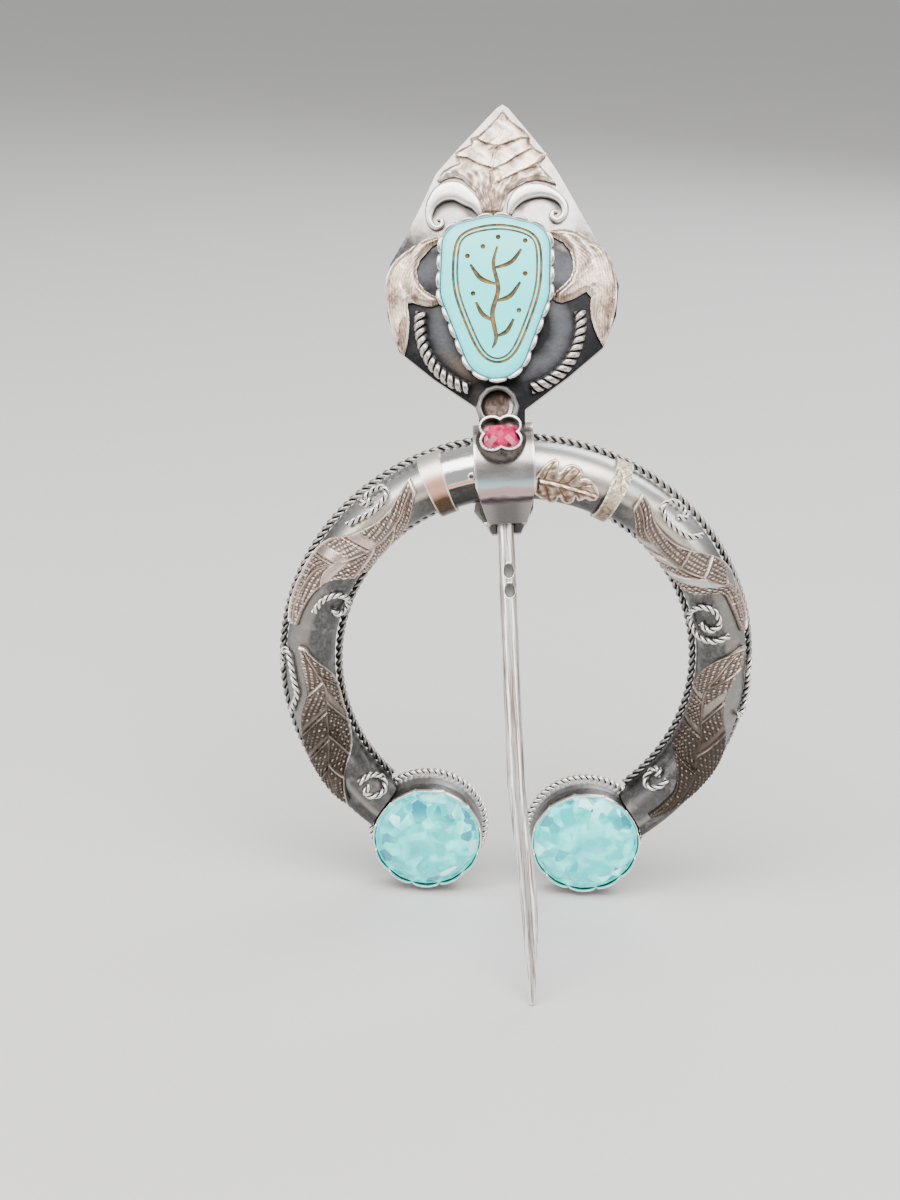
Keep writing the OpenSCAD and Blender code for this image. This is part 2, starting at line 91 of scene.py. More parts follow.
# %% Camera
lens_mm = 50.0
picture_w, picture_h, focal_px, distance = 900, 1200, 1932.0, 213.2
roll, sideways, downwards = -2.33, 0.38, 21.15
eye = (turn(roll, "Z") @ turn(sideways, "Y") @ turn(downwards, "X")).to_3x3()
eye_place = Vector((-7.21, 6.5, distance)) @ eye
view_axes = [on_ring.to_3x3() @ eye[i] for i in range(3)]

camera_data = bpy.data.cameras.new("studio_camera")
camera_data.sensor_fit = "VERTICAL"
camera_data.sensor_height = lens_mm * picture_h / focal_px
camera_data.sensor_width = camera_data.sensor_height * picture_w / picture_h
camera_data.lens = lens_mm
camera_data.clip_start, camera_data.clip_end = 0.01, 20
camera = bpy.data.objects.new("studio_camera", camera_data)
bpy.context.scene.collection.objects.link(camera)
camera.matrix_world = Matrix.Translation(MM * (on_ring @ eye_place)) @ Matrix(
    [[view_axes[column][row] for column in range(3)] for row in range(3)]).to_4x4()
bpy.context.scene.camera = camera
print("camera at", [round(v, 4) for v in camera.matrix_world.translation])

# %% [markdown]
# ## Working by hand, in code
# Blender's operators act on whatever is selected, just as they do under the mouse. These few
# helpers keep the bench tidy: pick one piece, change it with a modifier, and at last put it in
# its frame, on its body, with its finish.


# %% Bench helpers
def pick(piece):
    bpy.ops.object.select_all(action="DESELECT")
    piece.select_set(True)
    bpy.context.view_layer.objects.active = piece


def name_new(name):
    piece = bpy.context.view_layer.objects.active
    piece.name = piece.data.name = name
    return piece


def copy_of(piece, name):
    """A copy with a mesh of its own, which can be changed alone."""
    copied = bpy.data.objects.new(name, piece.data.copy())
    copied.data.name = name
    bpy.context.scene.collection.objects.link(copied)
    return copied


def modify(piece, kind, **settings):
    pick(piece)
    modifier = piece.modifiers.new(kind.lower(), kind)
    for setting, value in settings.items():
        setattr(modifier, setting, value)
    bpy.ops.object.modifier_apply(modifier=modifier.name)


def cut(piece, tool, operation="DIFFERENCE", solver="EXACT"):
    """Cuts a piece with a tool, and puts the tool away."""
    modify(piece, "BOOLEAN", operation=operation, object=tool, solver=solver)
    bpy.data.objects.remove(tool)


def wear_edges(piece, width, segments, degrees):
    """Rounds each edge that turns by more than so many degrees."""
    modify(piece, "BEVEL", width=width, segments=segments, limit_method="ANGLE",
           angle_limit=math.radians(degrees))


def in_edit_mode(piece, *steps):
    pick(piece)
    bpy.ops.object.mode_set(mode="EDIT")
    bpy.ops.mesh.select_all(action="SELECT")
    for step in steps:
        step()
    bpy.ops.object.mode_set(mode="OBJECT")


def close_up():
    """Merges doubles, closes open ends and points every face outwards."""
    bpy.ops.mesh.select_all(action="SELECT")
    bpy.ops.mesh.remove_doubles(threshold=0.002)
    bpy.ops.mesh.dissolve_degenerate(threshold=0.0005)
    bpy.ops.mesh.select_all(action="SELECT")
    bpy.ops.mesh.fill_holes(sides=0)
    bpy.ops.mesh.select_all(action="SELECT")
    bpy.ops.mesh.normals_make_consistent(inside=False)


def join(name, *pieces):
    pick(pieces[0])
    for piece in pieces:
        piece.select_set(True)
    bpy.ops.object.join()
    return name_new(name)


def smooth(piece, degrees):
    pick(piece)
    bpy.ops.object.shade_smooth_by_angle(angle=math.radians(degrees))


def points_of(piece):
    flat = np.empty(len(piece.data.vertices) * 3)
    piece.data.vertices.foreach_get("co", flat)
    return flat.reshape(-1, 3)


def move_points(piece, points):
    piece.data.vertices.foreach_set("co", np.ascontiguousarray(points, np.float32).ravel())
    piece.data.update()


def set_tone(piece, values, name="tone"):
    """A number on each point, 0 in the hollows and 1 on the tops, which the finishes read."""
    tone = piece.data.attributes.new(name, "FLOAT", "POINT")
    tone.data.foreach_set("value", np.clip(values, 0, 1).astype(np.float32))


def settle(piece, place, body, slot, *finishes, replaces=()):
    """Puts a finished piece in its frame, in metres, and on the body that it moves with."""
    piece.data.transform(Matrix.Scale(MM, 4) @ place)
    if place.determinant() < 0:
        piece.data.flip_normals()
    for index, finish in enumerate(finishes):
        if index < len(piece.data.materials):
            piece.data.materials[index] = finish.material
        else:
            piece.data.materials.append(finish.material)
    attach(piece, body)
    if replaces:
        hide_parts(*replaces)
    print(f"{piece.name}: {len(piece.data.vertices)} points on {body}")


def refinish(node, finish):
    """Gives a piece of the solid model its finish, and leaves its shape alone."""
    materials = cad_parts[node].data.materials
    materials.clear()
    materials.append(finish.material)
    print(f"{node}: keeps its shape, finished in {finish.material.name}")


# %% [markdown]
# ## Finishes as expressions
# A finish is a sum of masks: how worn, how dark, how rough at each place. Written as nodes by
# hand that is a web of Math nodes; written as Python it reads as the sum it is. `Value` wraps
# one socket, and each operator on it adds the Math node. `Finish` wraps one material.


# %% A value that flows through a material
def plug(tree, socket, value):
    if isinstance(value, Value):
        tree.links.new(value.socket, socket)
    elif value is not None:
        socket.default_value = value


class Value:
    def __init__(self, tree, socket):
        self.tree, self.socket = tree, socket

    def math(self, operation, *values, clamp=False):
        node = self.tree.nodes.new("ShaderNodeMath")
        node.operation, node.use_clamp = operation, clamp
        for socket, value in zip(node.inputs, values):
            plug(self.tree, socket, value)
        return Value(self.tree, node.outputs[0])

    def __add__(self, other):
        return self.math("ADD", self, other)

    def __sub__(self, other):
        return self.math("SUBTRACT", self, other)

    def __rsub__(self, other):
        return self.math("SUBTRACT", other, self)

    def __mul__(self, other):
        return self.math("MULTIPLY", self, other)

    def __truediv__(self, other):
        return self.math("DIVIDE", self, other)

    def __pow__(self, other):
        return self.math("POWER", self, other)

    __radd__, __rmul__ = __add__, __mul__

    def size(self):
        return self.math("ABSOLUTE", self)

    def held(self):
        return self.math("ADD", self, 0.0, clamp=True)

    def rise(self, low, high):
        """0 below low, 1 above high and smooth between them. With low above high it falls."""
        node = self.tree.nodes.new("ShaderNodeMapRange")
        node.interpolation_type = "SMOOTHSTEP"
        ends = (low, high, 0.0, 1.0) if low < high else (high, low, 1.0, 0.0)
        plug(self.tree, node.inputs[0], self)
        for socket, end in zip(list(node.inputs)[1:5], ends):
            socket.default_value = end
        return Value(self.tree, node.outputs[0])

    def near(self, middle, width):
        return (1.0 - ((self - middle) / width) ** 2.0).held()


# %% A finish: one material and the nodes that are asked of it
class Finish:
    def __init__(self, name, **constants):
        self.material = bpy.data.materials.new(name)
        self.material.use_nodes = True
        self.tree = self.material.node_tree
        self.shader = self.tree.nodes["Principled BSDF"]
        for socket, value in constants.items():
            self.shader.inputs[socket.replace("_", " ")].default_value = value
        self.place = self.node("ShaderNodeTexCoord", output="Object")

    def node(self, kind, settings=None, output=0, **sockets):
        node = self.tree.nodes.new(kind)
        for setting, value in (settings or {}).items():
            setattr(node, setting, value)
        for socket, value in sockets.items():
            plug(self.tree, node.inputs[socket.replace("_", " ")], value)
        return Value(self.tree, node.outputs[output])

    def along(self, place, axis):
        """Millimetres along one axis of a frame, at each point of the surface."""
        direction = place.to_3x3().col[axis]
        node = self.tree.nodes.new("ShaderNodeVectorMath")
        node.operation = "DOT_PRODUCT"
        plug(self.tree, node.inputs[0], self.place)
        node.inputs[1].default_value = direction / MM
        return Value(self.tree, node.outputs["Value"]) - direction.dot(place.translation)

    def off_axis(self, place):
        """Millimetres from the z axis of a frame."""
        x, y = self.along(place, 0), self.along(place, 1)
        return x.math("SQRT", x * x + y * y)

    def noise(self, size_mm, detail=3.0, roughness=0.55, stretch=None, distortion=0.0):
        vector = self.place
        if stretch:
            vector = self.node("ShaderNodeMapping", Vector=self.place, Scale=stretch)
        return self.node("ShaderNodeTexNoise", Vector=vector, Scale=1 / (size_mm * MM),
                         Detail=detail, Roughness=roughness, Distortion=distortion)

    def tone(self, name="tone"):
        return self.node("ShaderNodeAttribute", {"attribute_name": name}, output="Fac")

    def mix(self, share, first, second):
        node = self.tree.nodes.new("ShaderNodeMix")
        node.data_type = "RGBA"
        for index, value in ((0, share), (6, first), (7, second)):
            value = (*value, 1.0) if isinstance(value, tuple) else value
            plug(self.tree, node.inputs[index], value)
        return Value(self.tree, node.outputs[2])

    def layers(self, color, *washes):
        """Lays each wash, a mask and its color, over what is below it."""
        for share, wash in washes:
            color = self.mix(share, color, wash)
        return color

    def feed(self, **sockets):
        for socket, value in sockets.items():
            plug(self.tree, self.shader.inputs[socket.replace("_", " ")], value)
        print(f"{self.material.name}: {len(self.tree.nodes)} nodes")

    def bump(self, height, depth_mm, strength=1.0):
        node = self.tree.nodes.new("ShaderNodeBump")
        node.inputs["Strength"].default_value = strength
        node.inputs["Distance"].default_value = depth_mm * MM
        plug(self.tree, node.inputs["Height"], height)
        self.tree.links.new(node.outputs[0], self.shader.inputs["Normal"])


# %% [markdown]
# ## The tube's finish
# The ring is bent from one silver tube. Left of the clasp it is polished like a mirror, right of
# it it has a soft satin face with a breath of gold, and down the arms it is blackened and rubbed
# back, so it is pale near the bands and blue-grey and blotched below. Its inner side carries
# painted shade, near black by the crown, and the lower half of the mirror and the outer side of
# the feet are painted dark as a reflection. A dark seam runs along each band, and there is a
# small dimple left of the clasp.
# The solid tube's shape is right, so it stays and only gets this finish. Where a point lies
# round the ring (`around`) and over the tube (`over_s`) comes from its place, so the blackening
# follows the bend.


# %% Where a point lies on the ring
def ring_angles(finish):
    """Degrees round the ring from its top, and degrees over the tube from its outer side."""
    u, v, n = (finish.along(on_ring, axis) for axis in range(3))
    around = u.math("ARCTAN2", u, v) * (180 / math.pi)
    reach = u.math("SQRT", u * u + v * v) - ring_r
    over_s = u.math("ARCTAN2", n - flank_h, reach) * (180 / math.pi)
    return around, over_s


# %% Where the tube is polished, and where it is dark
left_band_at, right_band_at = 24.0, 23.4
tube_silver = Finish("tube_silver", Metallic=1.0)
around, over_s = ring_angles(tube_silver)
off_top = around.size()
blotches = tube_silver.noise(1.6, 5.0, 0.65, distortion=0.4)
specks = tube_silver.noise(0.35, 4.0, 0.7)
polished = (around - clasp_angle).rise(0.5, -0.5) * off_top.rise(24.5, 23.5)
satin = 1.0 - polished
down_arm = off_top.rise(40.0, 62.0)
foot_light = off_top.rise(118.0, 132.0) * 0.2
# foot_shade: a painted dark reflection on the outer side of each foot
foot_shade = off_top.rise(118.0, 134.0) * over_s.rise(90.0, 55.0)
# painted shade on the inner side of the tube, weaker down the arms
inner_dark = over_s.rise(78.0, 98.0) * (0.95 - down_arm * 0.6)
outer_dark = over_s.rise(40.0, 8.0) * 0.25
seams = (around + left_band_at).near(0.0, 3.5) + (around - right_band_at).near(0.0, 2.9)
seams = (seams * over_s.near(90.0, 110.0)).held()
dark = (down_arm * (1.0 - foot_light) * (0.6 + blotches * 0.5) + seams * 0.7
        + inner_dark + outer_dark + (specks - 0.6) * 0.3).held()
# the lower half of the polished part is painted dark: a painted dark reflection
dark = (dark * satin + polished * over_s.rise(89.0, 92.0) + foot_shade).held()
print("tube masks use", len(tube_silver.tree.nodes), "nodes")

# %% The tube's bright and dark silver
dimple = tube_silver.off_axis(on_ring @ shift(-5.79, 22.38, 0))
warm = (over_s.near(80.0, 40.0) * (blotches + 0.2)).held() * satin * 0.8
bright_silver = tube_silver.layers(
    (0.74, 0.74, 0.73), (warm, (0.84, 0.71, 0.54)), (polished, (0.9, 0.9, 0.9)),
    (polished * over_s.near(87.0, 4.0), (0.75, 0.36, 0.16)),
    (dimple.rise(0.27, 0.2), (0.3, 0.27, 0.26)))
dark_silver = tube_silver.layers(
    (0.075, 0.072, 0.072), (specks.rise(0.3, 0.8), (0.15, 0.15, 0.153)),
    (blotches.rise(0.46, 0.7), (0.25, 0.238, 0.23)),
    # near the crown the darkened side goes almost black: painted shade and dark reflection
    (off_top.rise(36.0, 28.0) * (1.0 - blotches * 0.4), (0.032, 0.028, 0.027)),
    # painted dark reflection at the feet
    (foot_shade * (1.1 - blotches), (0.03, 0.028, 0.026)))
scratches = tube_silver.noise(0.5, 3.0, 0.6, stretch=(1.0, 6.0, 0.4))
tube_silver.feed(
    Base_Color=tube_silver.mix(dark, bright_silver, dark_silver),
    Roughness=(0.14 + satin * 0.18 + satin * dark * 0.14 + (scratches - 0.5) * 0.12).held())
tube_relief = scratches * 0.5 + specks * satin * dark + dimple.near(0.3, 0.12) * 2.0
tube_silver.bump(tube_relief, 0.05, 0.5)
refinish("hoop", tube_silver)

# %% [markdown]
# ## Twisted wire
# A jeweller twists two fine wires in a drill, then bends the cord to shape. The same can be
# done here: two circles are swept up a screw, which gives a straight cord, and a Curve modifier
# bends it along its line. The other way, two helices computed point by point, would say less
# about how it is made. The circles are stretched a little round the cord, because a strand
# that leans is cut at a slant.


# %% Lines and cords
def through(points, steps):
    """A smooth line through points, the same curve as in the solid model."""
    rows = np.array(points, float)
    line = []
    for i in range(len(rows) - 1):
        a, b, c, d = (rows[min(max(i + k, 0), len(rows) - 1)] for k in (-1, 0, 1, 2))
        for u in np.arange(steps) / steps:
            line.append(b + u / 2 * ((c - a) + u * ((2 * a - 5 * b + 4 * c - d)
                                                    + u * (3 * b - a - 3 * c + d))))
    return np.array([*line, rows[-1]])


def read_along(rows, share):
    """The columns of a table, each read at shares 0 to 1 of the way down its rows."""
    rows = np.array(rows, float)
    place = share * (len(rows) - 1)
    return [np.interp(place, np.arange(len(rows)), column) for column in rows.T]


def over(t, s, lift, width=arm_w, flank=flank_h):
    """Points over the tube, at t degrees round the ring and s degrees over it."""
    t, s = np.radians(t), np.radians(s)
    reach = width / 2 + lift
    r = ring_r + reach * np.cos(s)
    return np.stack([r * np.sin(t), r * np.cos(t), flank + reach * np.sin(s)], -1)


def guide_line(name, points):
    curve = bpy.data.curves.new(name, "CURVE")
    curve.dimensions, curve.twist_mode = "3D", "MINIMUM"
    spline = curve.splines.new("POLY")
    spline.points.add(len(points) - 1)
    spline.points.foreach_set("co", np.c_[points, np.ones(len(points))].astype(np.float32).ravel())
    guide = bpy.data.objects.new(name, curve)
    bpy.context.scene.collection.objects.link(guide)
    return guide


def twisted_cord(name, line, thick, pitch, sides=8, steps=12):
    length = float(np.linalg.norm(np.diff(line, axis=0), axis=1).sum())
    turns = max(1, round(length / pitch))
    strand = thick / 4
    slant = math.hypot(1, 2 * math.pi * strand * turns / length)
    strands = []
    for side in (-1, 1):
        bpy.ops.mesh.primitive_circle_add(vertices=sides, radius=strand,
                                          location=(side * strand, 0, 0))
        bpy.ops.transform.resize(value=(1, slant, 1))
        bpy.ops.object.transform_apply(location=True, rotation=True, scale=True)
        strands.append(name_new(f"{name}_strand"))
    cord = join(name, *strands)
    modify(cord, "SCREW", axis="Z", angle=2 * math.pi, screw_offset=length / turns,
           iterations=turns, steps=steps, render_steps=steps, use_smooth_shade=True)
    in_edit_mode(cord, close_up)
    straight = points_of(cord)
    set_tone(cord, np.hypot(straight[:, 0], straight[:, 1]) / (thick / 2) * 1.7 - 0.7)
    guide = guide_line(f"{name}_guide", line)
    modify(cord, "CURVE", object=guide, deform_axis="POS_Z")
    bpy.data.objects.remove(guide)
    smooth(cord, 80)
    return cord


# %% [markdown]
# The cord's finish is blackened silver that was rubbed with leather: the strands shine where
# the leather could reach and stay dark in the groove between them. `tone`, which was set while
# the cord was straight, says how deep a point lies.


# %% Finish of the twisted wire
def cord_silver(name, bright, deep, groove, dim=None):
    """A cord's finish. The strands turn from bright to dim low on the ring, if dim is given."""
    finish = Finish(name, Metallic=1.0)
    worn = (finish.tone().rise(0.1, groove) + (finish.noise(1.2, 4.0) - 0.5) * 0.5).held()
    if dim:
        bright = finish.mix(finish.along(on_ring, 1).rise(16.0, 2.0), bright, dim)
    finish.feed(Base_Color=finish.mix(worn, deep, bright), Roughness=0.5 - worn * 0.2)
    finish.bump(finish.noise(0.12, 2.0), 0.02, 0.4)
    return finish


wire_silver = cord_silver("wire_silver", (0.44, 0.42, 0.4), (0.09, 0.086, 0.083), groove=0.75,
                          dim=(0.26, 0.25, 0.24))
scroll_silver = cord_silver("scroll_silver", (0.9, 0.86, 0.82), (0.12, 0.105, 0.095),
                            groove=0.65)

# %% The two wires along the back edges of the arms
rim_pitch = 1.85
terminal_r = math.hypot(terminal_x, terminal_drop)
terminal_angle = math.degrees(math.atan2(terminal_x, -terminal_drop))
rim_out = rim_r + wire_d / 2 + gap


def wire_end(r):
    """Degrees round the ring where a wire of radius r meets the cord round a terminal."""
    meet = (r * r + terminal_r ** 2 - rim_out ** 2) / (2 * r * terminal_r)
    return (terminal_angle - math.degrees(math.acos(meet))
            - math.degrees(math.asin(wire_d / 2 / r)))


def round_line(r, start, end, count):
    """The middle of a wire that lies on its back, from one angle to another."""
    t = np.radians(np.linspace(start, end, count))
    return np.stack([r * np.sin(t), r * np.cos(t), np.full_like(t, wire_d / 2)], -1)


for name, r in (("outer_rim_wire", ring_r + arm_w / 2 + gap + wire_d / 2),
                ("inner_rim_wire", ring_r - arm_w / 2 - gap - wire_d / 2)):
    line = round_line(r, -wire_end(r), wire_end(r), 500)
    settle(twisted_cord(f"{name}_cord", line, wire_d, rim_pitch), on_ring, "ring",
           "twisted_wire", wire_silver, replaces=[name])

# %% [markdown]
# ## Scrolls of wire
# Eight small scrolls of finer cord lie over the tube between the leaves. Each is drawn as a few
# points, as angles round the ring and over the tube, because that is how they were bent: flat
# first, then pressed over the tube. The cord follows them exactly as the rim wires were made.

# %% Scrolls
scroll_pitch = 1.6
scroll_lines = {
    "left_band_scroll": [(49, 42), (46, 50), (41.5, 58), (37.5, 50), (36.2, 34), (37.6, 16),
                         (40.6, 11), (43, 20), (42.4, 34), (40.4, 33)],
    "left_middle_scroll": [(73.5, 82), (69.5, 90), (66.5, 112), (67, 142), (70.5, 156),
                           (72.5, 136), (71, 118)],
    "left_edge_scroll": [(90.4, 30), (91, 17), (88.8, 11), (86.8, 22), (87, 40), (89.5, 50),
                         (94, 58), (98, 62), (101.5, 44), (103.5, 30)],
    "left_foot_scroll": [(129, 108), (130, 140), (134, 160), (136.6, 140), (135.6, 114),
                         (132.8, 104), (132, 122)],
    "right_band_scroll": [(48.6, 34), (46.4, 58), (42.6, 68), (38.6, 66), (36, 48), (37.8, 22),
                          (40.8, 16), (42.6, 34), (40.8, 46)],
    "right_middle_scroll": [(75.6, 76), (76.6, 112), (74.6, 150), (70.4, 163), (66.6, 146),
                            (65.4, 116), (68, 92), (72, 92), (73, 116), (70.6, 130)],
    "right_edge_scroll": [(98.5, 50), (99.4, 24), (96, 12), (91.6, 14), (88, 26), (86.4, 15),
                          (84.4, 12)],
    "right_foot_scroll": [(124.2, 122), (127.6, 124), (130.4, 140), (129.8, 162), (126.4, 168),
                          (124, 152), (126, 142)],
}
for name, drawn in scroll_lines.items():
    line = through(drawn, 10)
    line = over(line[:, 0], line[:, 1], gap + scroll_d / 2)
    side = on_left if name.startswith("left") else on_ring
    settle(twisted_cord(f"{name}_cord", line, scroll_d, scroll_pitch), side, "ring",
           "scroll_wire", scroll_silver, replaces=[name])

# %% [markdown]
# ## The four long leaves
# Each leaf was cast from a wax: a smooth vein, side veins, a raised rim, and rows of tiny beads
# in the fields between. A grid is given a thickness and laid over the tube, and each point of
# its face is raised by one function of the distance along the leaf and across it. That keeps
# beads, veins and rim in one skin, as in a casting. Thousands of separate balls would look
# strewn on, and a bump map would vanish at the leaf's outline.


# %% Bells, steps and beads
def bell(distance, width):
    """1 on a line, and 0 away from it."""
    return np.exp(-(distance / width) ** 2)


def step_up(x, low, high):
    """0 below low, 1 above high and smooth between them."""
    x = np.clip((x - low) / (high - low), 0, 1)
    return x * x * (3 - 2 * x)


bead_pitch, row_gap, bead_long, bead_wide = 0.37, 0.5, 0.15, 0.16


def bead_rows(along, across, slant):
    """Small beads in slanting rows: up to 1 on top of each and 0 in the grooves between."""
    c, s = math.cos(slant), math.sin(slant)
    along, across = along * c + across * s, across * c - along * s
    row = np.round(across / row_gap)
    shifted = along + 0.37 * bead_pitch * row
    count = np.round(shifted / bead_pitch)
    dx = (shifted - count * bead_pitch) / bead_long
    dy = (across - row * row_gap) / bead_wide
    worn = 0.72 + 0.28 * np.sin(row * 12.9 + count * 78.2)
    return worn * np.sqrt(np.clip(1 - np.abs(dx) ** 3 - np.abs(dy) ** 3, 0, 1))


# %% Relief of a cast leaf
def leaf_relief(along, across, edge, plan):
    """Height over the tube in millimetres, tone, and where the leaf is left bare."""
    inner, off_spine = across > 0, np.abs(across)
    lean = np.where(inner, plan["lean"][1], plan["lean"][0])
    slanted = along - lean * off_spine
    beads = bead_rows(along, across, plan["slant"])
    beads = beads * step_up(off_spine, 0.16, 0.26) * step_up(edge, 0.14, 0.26)
    veins, grooves, bare = np.zeros((3, *along.shape))
    for side, places in ((False, plan["outer"]), (True, plan["inner"])):
        here = inner == side
        for place in places:
            away = (slanted - place) / np.hypot(1, lean)
            veins = np.maximum(veins, here * bell(away, 0.1))
            grooves = np.maximum(grooves, here * bell(away + 0.24, 0.12))
            beads = beads * np.where(here, step_up(np.abs(away), 0.15, 0.25), 1)
    for side, start, end in plan["bare"]:
        inside = step_up(slanted, start, start + 0.15) * step_up(end - slanted, 0, 0.15)
        inside = inside * step_up(edge, 0.1, 0.25) * step_up(off_spine, 0.08, 0.2)
        bare = np.maximum(bare, inside * (inner == side))
    beads = beads * (1 - bare)
    strength = np.where(inner, plan["rim"][1], plan["rim"][0])
    beaded = np.where(strength < 0.75, 0.65 + 0.35 * np.cos(along / 0.42 * 2 * math.pi), 1)
    rim = np.maximum(bell(edge - 0.17, 0.12) * strength * beaded, bell(along - 0.22, 0.2))
    spine = bell(across, 0.12)
    raised = np.maximum.reduce([0.75 * beads, 0.9 * veins, rim, 0.5 * spine, 0.4 * bare])
    height = 0.2 + 0.1 * bell(across, 1.2) + 0.33 * raised - 0.06 * grooves
    tone = np.maximum.reduce([0.8 * beads, 0.85 * veins, rim, 0.45 * spine, 0.45 * bare])
    return height * (0.45 + 0.55 * step_up(edge, 0.0, 0.1)), tone - 0.12 * grooves, bare


# %% A cast leaf laid over the tube
mm_round, mm_over = 0.41, 0.0454
leaf_cell, leaf_rows, leaf_back = 0.095, 64, 0.03


def cast_leaf(name, sections, plan):
    """sections are (degrees round the ring, outer edge, inner edge) down the leaf."""
    dense = through(sections, 12)
    length = (dense[-1, 0] - dense[0, 0]) * mm_round
    bpy.ops.mesh.primitive_grid_add(x_subdivisions=int(length / leaf_cell),
                                    y_subdivisions=leaf_rows, size=2)
    leaf = name_new(name)
    modify(leaf, "SOLIDIFY", thickness=1, offset=-1)
    flat = points_of(leaf)
    t, out, inn = read_along(dense, (flat[:, 0] + 1) / 2)
    s = out + (inn - out) * (flat[:, 1] + 1) / 2
    half = (inn - out) / 2 * mm_over
    along, across = (t - t.min()) * mm_round, (s - (out + inn) / 2) * mm_over
    ends = np.minimum(along, length - along) + 0.1
    edge = np.minimum(np.maximum(half - np.abs(across), 0), ends)
    height, tone, bare = leaf_relief(along, across, edge, plan)
    face = flat[:, 2] > -0.5
    move_points(leaf, over(t, s, np.where(face, gap + height, leaf_back)))
    set_tone(leaf, np.where(face, tone, 0))
    set_tone(leaf, np.where(face, bare, 0), "bare")
    in_edit_mode(leaf, close_up)
    smooth(leaf, 60)
    return leaf


# %% [markdown]
# The castings are a warm, slightly pink silver. Their hollows kept the brown of the casting and
# the oxide, and the beads, veins and rims were rubbed bright. Low on the ring a darker copy of
# these colors is laid over them as painted shade. The narrow fields without beads are burnished:
# pink on the left of the ring, bluish on the right.
# The two tones that were set on the points say where each belongs, and noise wears it.

# %% Finish of the castings
leaf_silver = Finish("leaf_silver", Metallic=1.0)
tone, bare = leaf_silver.tone(), leaf_silver.tone("bare")
grime = leaf_silver.noise(0.9, 5.0, 0.65)
cloud = leaf_silver.noise(2.6, 3.0, 0.5)
low = leaf_silver.along(on_ring, 1).rise(4.0, -8.0)
right = leaf_silver.along(on_ring, 0).rise(-3.0, 3.0)
raised = (tone.rise(0.3, 1.0) + (grime - 0.5) * 0.5 + (cloud - 0.5) * 0.4 - right * 0.14).held()
field = leaf_silver.mix((tone.rise(0.0, 0.4) + (grime - 0.5) * 0.8).held(),
                        (0.15, 0.115, 0.095), (0.5, 0.39, 0.335))
burnished = leaf_silver.mix(right, (0.68, 0.53, 0.47), (0.56, 0.61, 0.62))
# a darker copy of the leaf's colors, laid over it low on the ring as painted shade
darker_below = leaf_silver.mix(raised, (0.05, 0.039, 0.032), (0.35, 0.3, 0.265))
leaf_silver.feed(
    Base_Color=leaf_silver.layers(
        field, (raised, (1.0, 0.9, 0.83)), (bare * (1.0 - low) * 0.65, burnished),
        (right * (1.0 - bare) * 0.25, (0.16, 0.14, 0.125)), (low * 0.9, darker_below)),
    Roughness=(0.42 - raised * 0.16 + (grime - 0.5) * 0.25 - bare * 0.12).held())
leaf_silver.bump(leaf_silver.noise(0.16, 4.0, 0.6), 0.05, 0.6)

# %% The leaves
leaf_sections = {
    "upper_left_leaf": [
        (29.4, 38, 72), (34, 58, 112), (38, 74, 138), (44, 76, 162), (50, 60, 170), (55, 28, 165),
        (59, 12, 138), (63, 4, 92), (68, 4, 70), (74, 8, 57), (79, 28, 52)],
    "lower_left_leaf": [
        (84, 66, 82), (88, 72, 112), (92, 78, 142), (98, 84, 170), (104, 60, 176), (111, 40, 176),
        (118, 24, 148), (123, 18, 108), (128, 24, 80), (132, 46, 62)],
    "upper_right_leaf": [
        (29.4, 52, 88), (33, 62, 118), (37, 84, 150), (43, 90, 168), (48, 78, 172), (53, 48, 172),
        (57, 22, 156), (61, 6, 122), (64, 4, 66), (69, 4, 54), (73, 8, 48), (76, 28, 42)],
    "lower_right_leaf": [
        (80, 38, 52), (83, 44, 112), (88, 62, 152), (94, 82, 176), (100, 76, 176), (106, 50, 176),
        (114, 22, 174), (119, 30, 128), (125, 48, 96), (131, 62, 92), (136, 80, 94)],
}
leaf_plans = {
    "upper_left_leaf": {
        "lean": (0.3, 1.8), "slant": 0.1, "rim": (1.0, 0.6),
        "outer": [8.6, 12.2, 15.6], "inner": [4.2, 7.7, 12.2],
        "bare": [(False, 7.0, 8.4), (False, 10.4, 12.0), (True, 10.6, 12.0)]},
    "lower_left_leaf": {
        "lean": (0.8, 1.5), "slant": -0.33, "rim": (0.6, 1.0),
        "outer": [4.4, 8.4, 11.8, 15.2], "inner": [3.6, 7.1, 11.3, 14.6],
        "bare": [(False, 7.4, 8.2), (False, 10.8, 11.6), (True, 5.6, 6.9)]},
    "upper_right_leaf": {
        "lean": (-0.5, -1.7), "slant": 0.05, "rim": (0.9, 0.6),
        "outer": [9.2, 11.6, 14.8], "inner": [5.0, 7.6, 12.0],
        "bare": [(True, 5.2, 6.6), (True, 7.8, 9.6), (True, 12.2, 14.4), (False, 13.6, 14.6)]},
    "lower_right_leaf": {
        "lean": (-1.5, -0.3), "slant": -0.33, "rim": (0.6, 0.6),
        "outer": [5.0, 9.5, 13.7], "inner": [6.9, 11.3, 15.5],
        "bare": [(False, 7.6, 9.2), (False, 12.2, 13.4), (True, 5.9, 6.7), (True, 10.2, 11.1)]},
}
for name, sections in leaf_sections.items():
    side = on_left if "left" in name else on_ring
    settle(cast_leaf(f"{name}_casting", sections, leaf_plans[name]), side, "ring", "leaf",
           leaf_silver, replaces=[name])

# %% [markdown]
# ## Sawn and chased pieces
# The oak leaf and the leaves of the head have outlines that no grid follows. So they are made
# as a jeweller would: a sheet with a fine grid is cut out with the outline (an intersection with
# a prism), and then its face is chased, each point raised by its distance from the edge and
# from the veins.


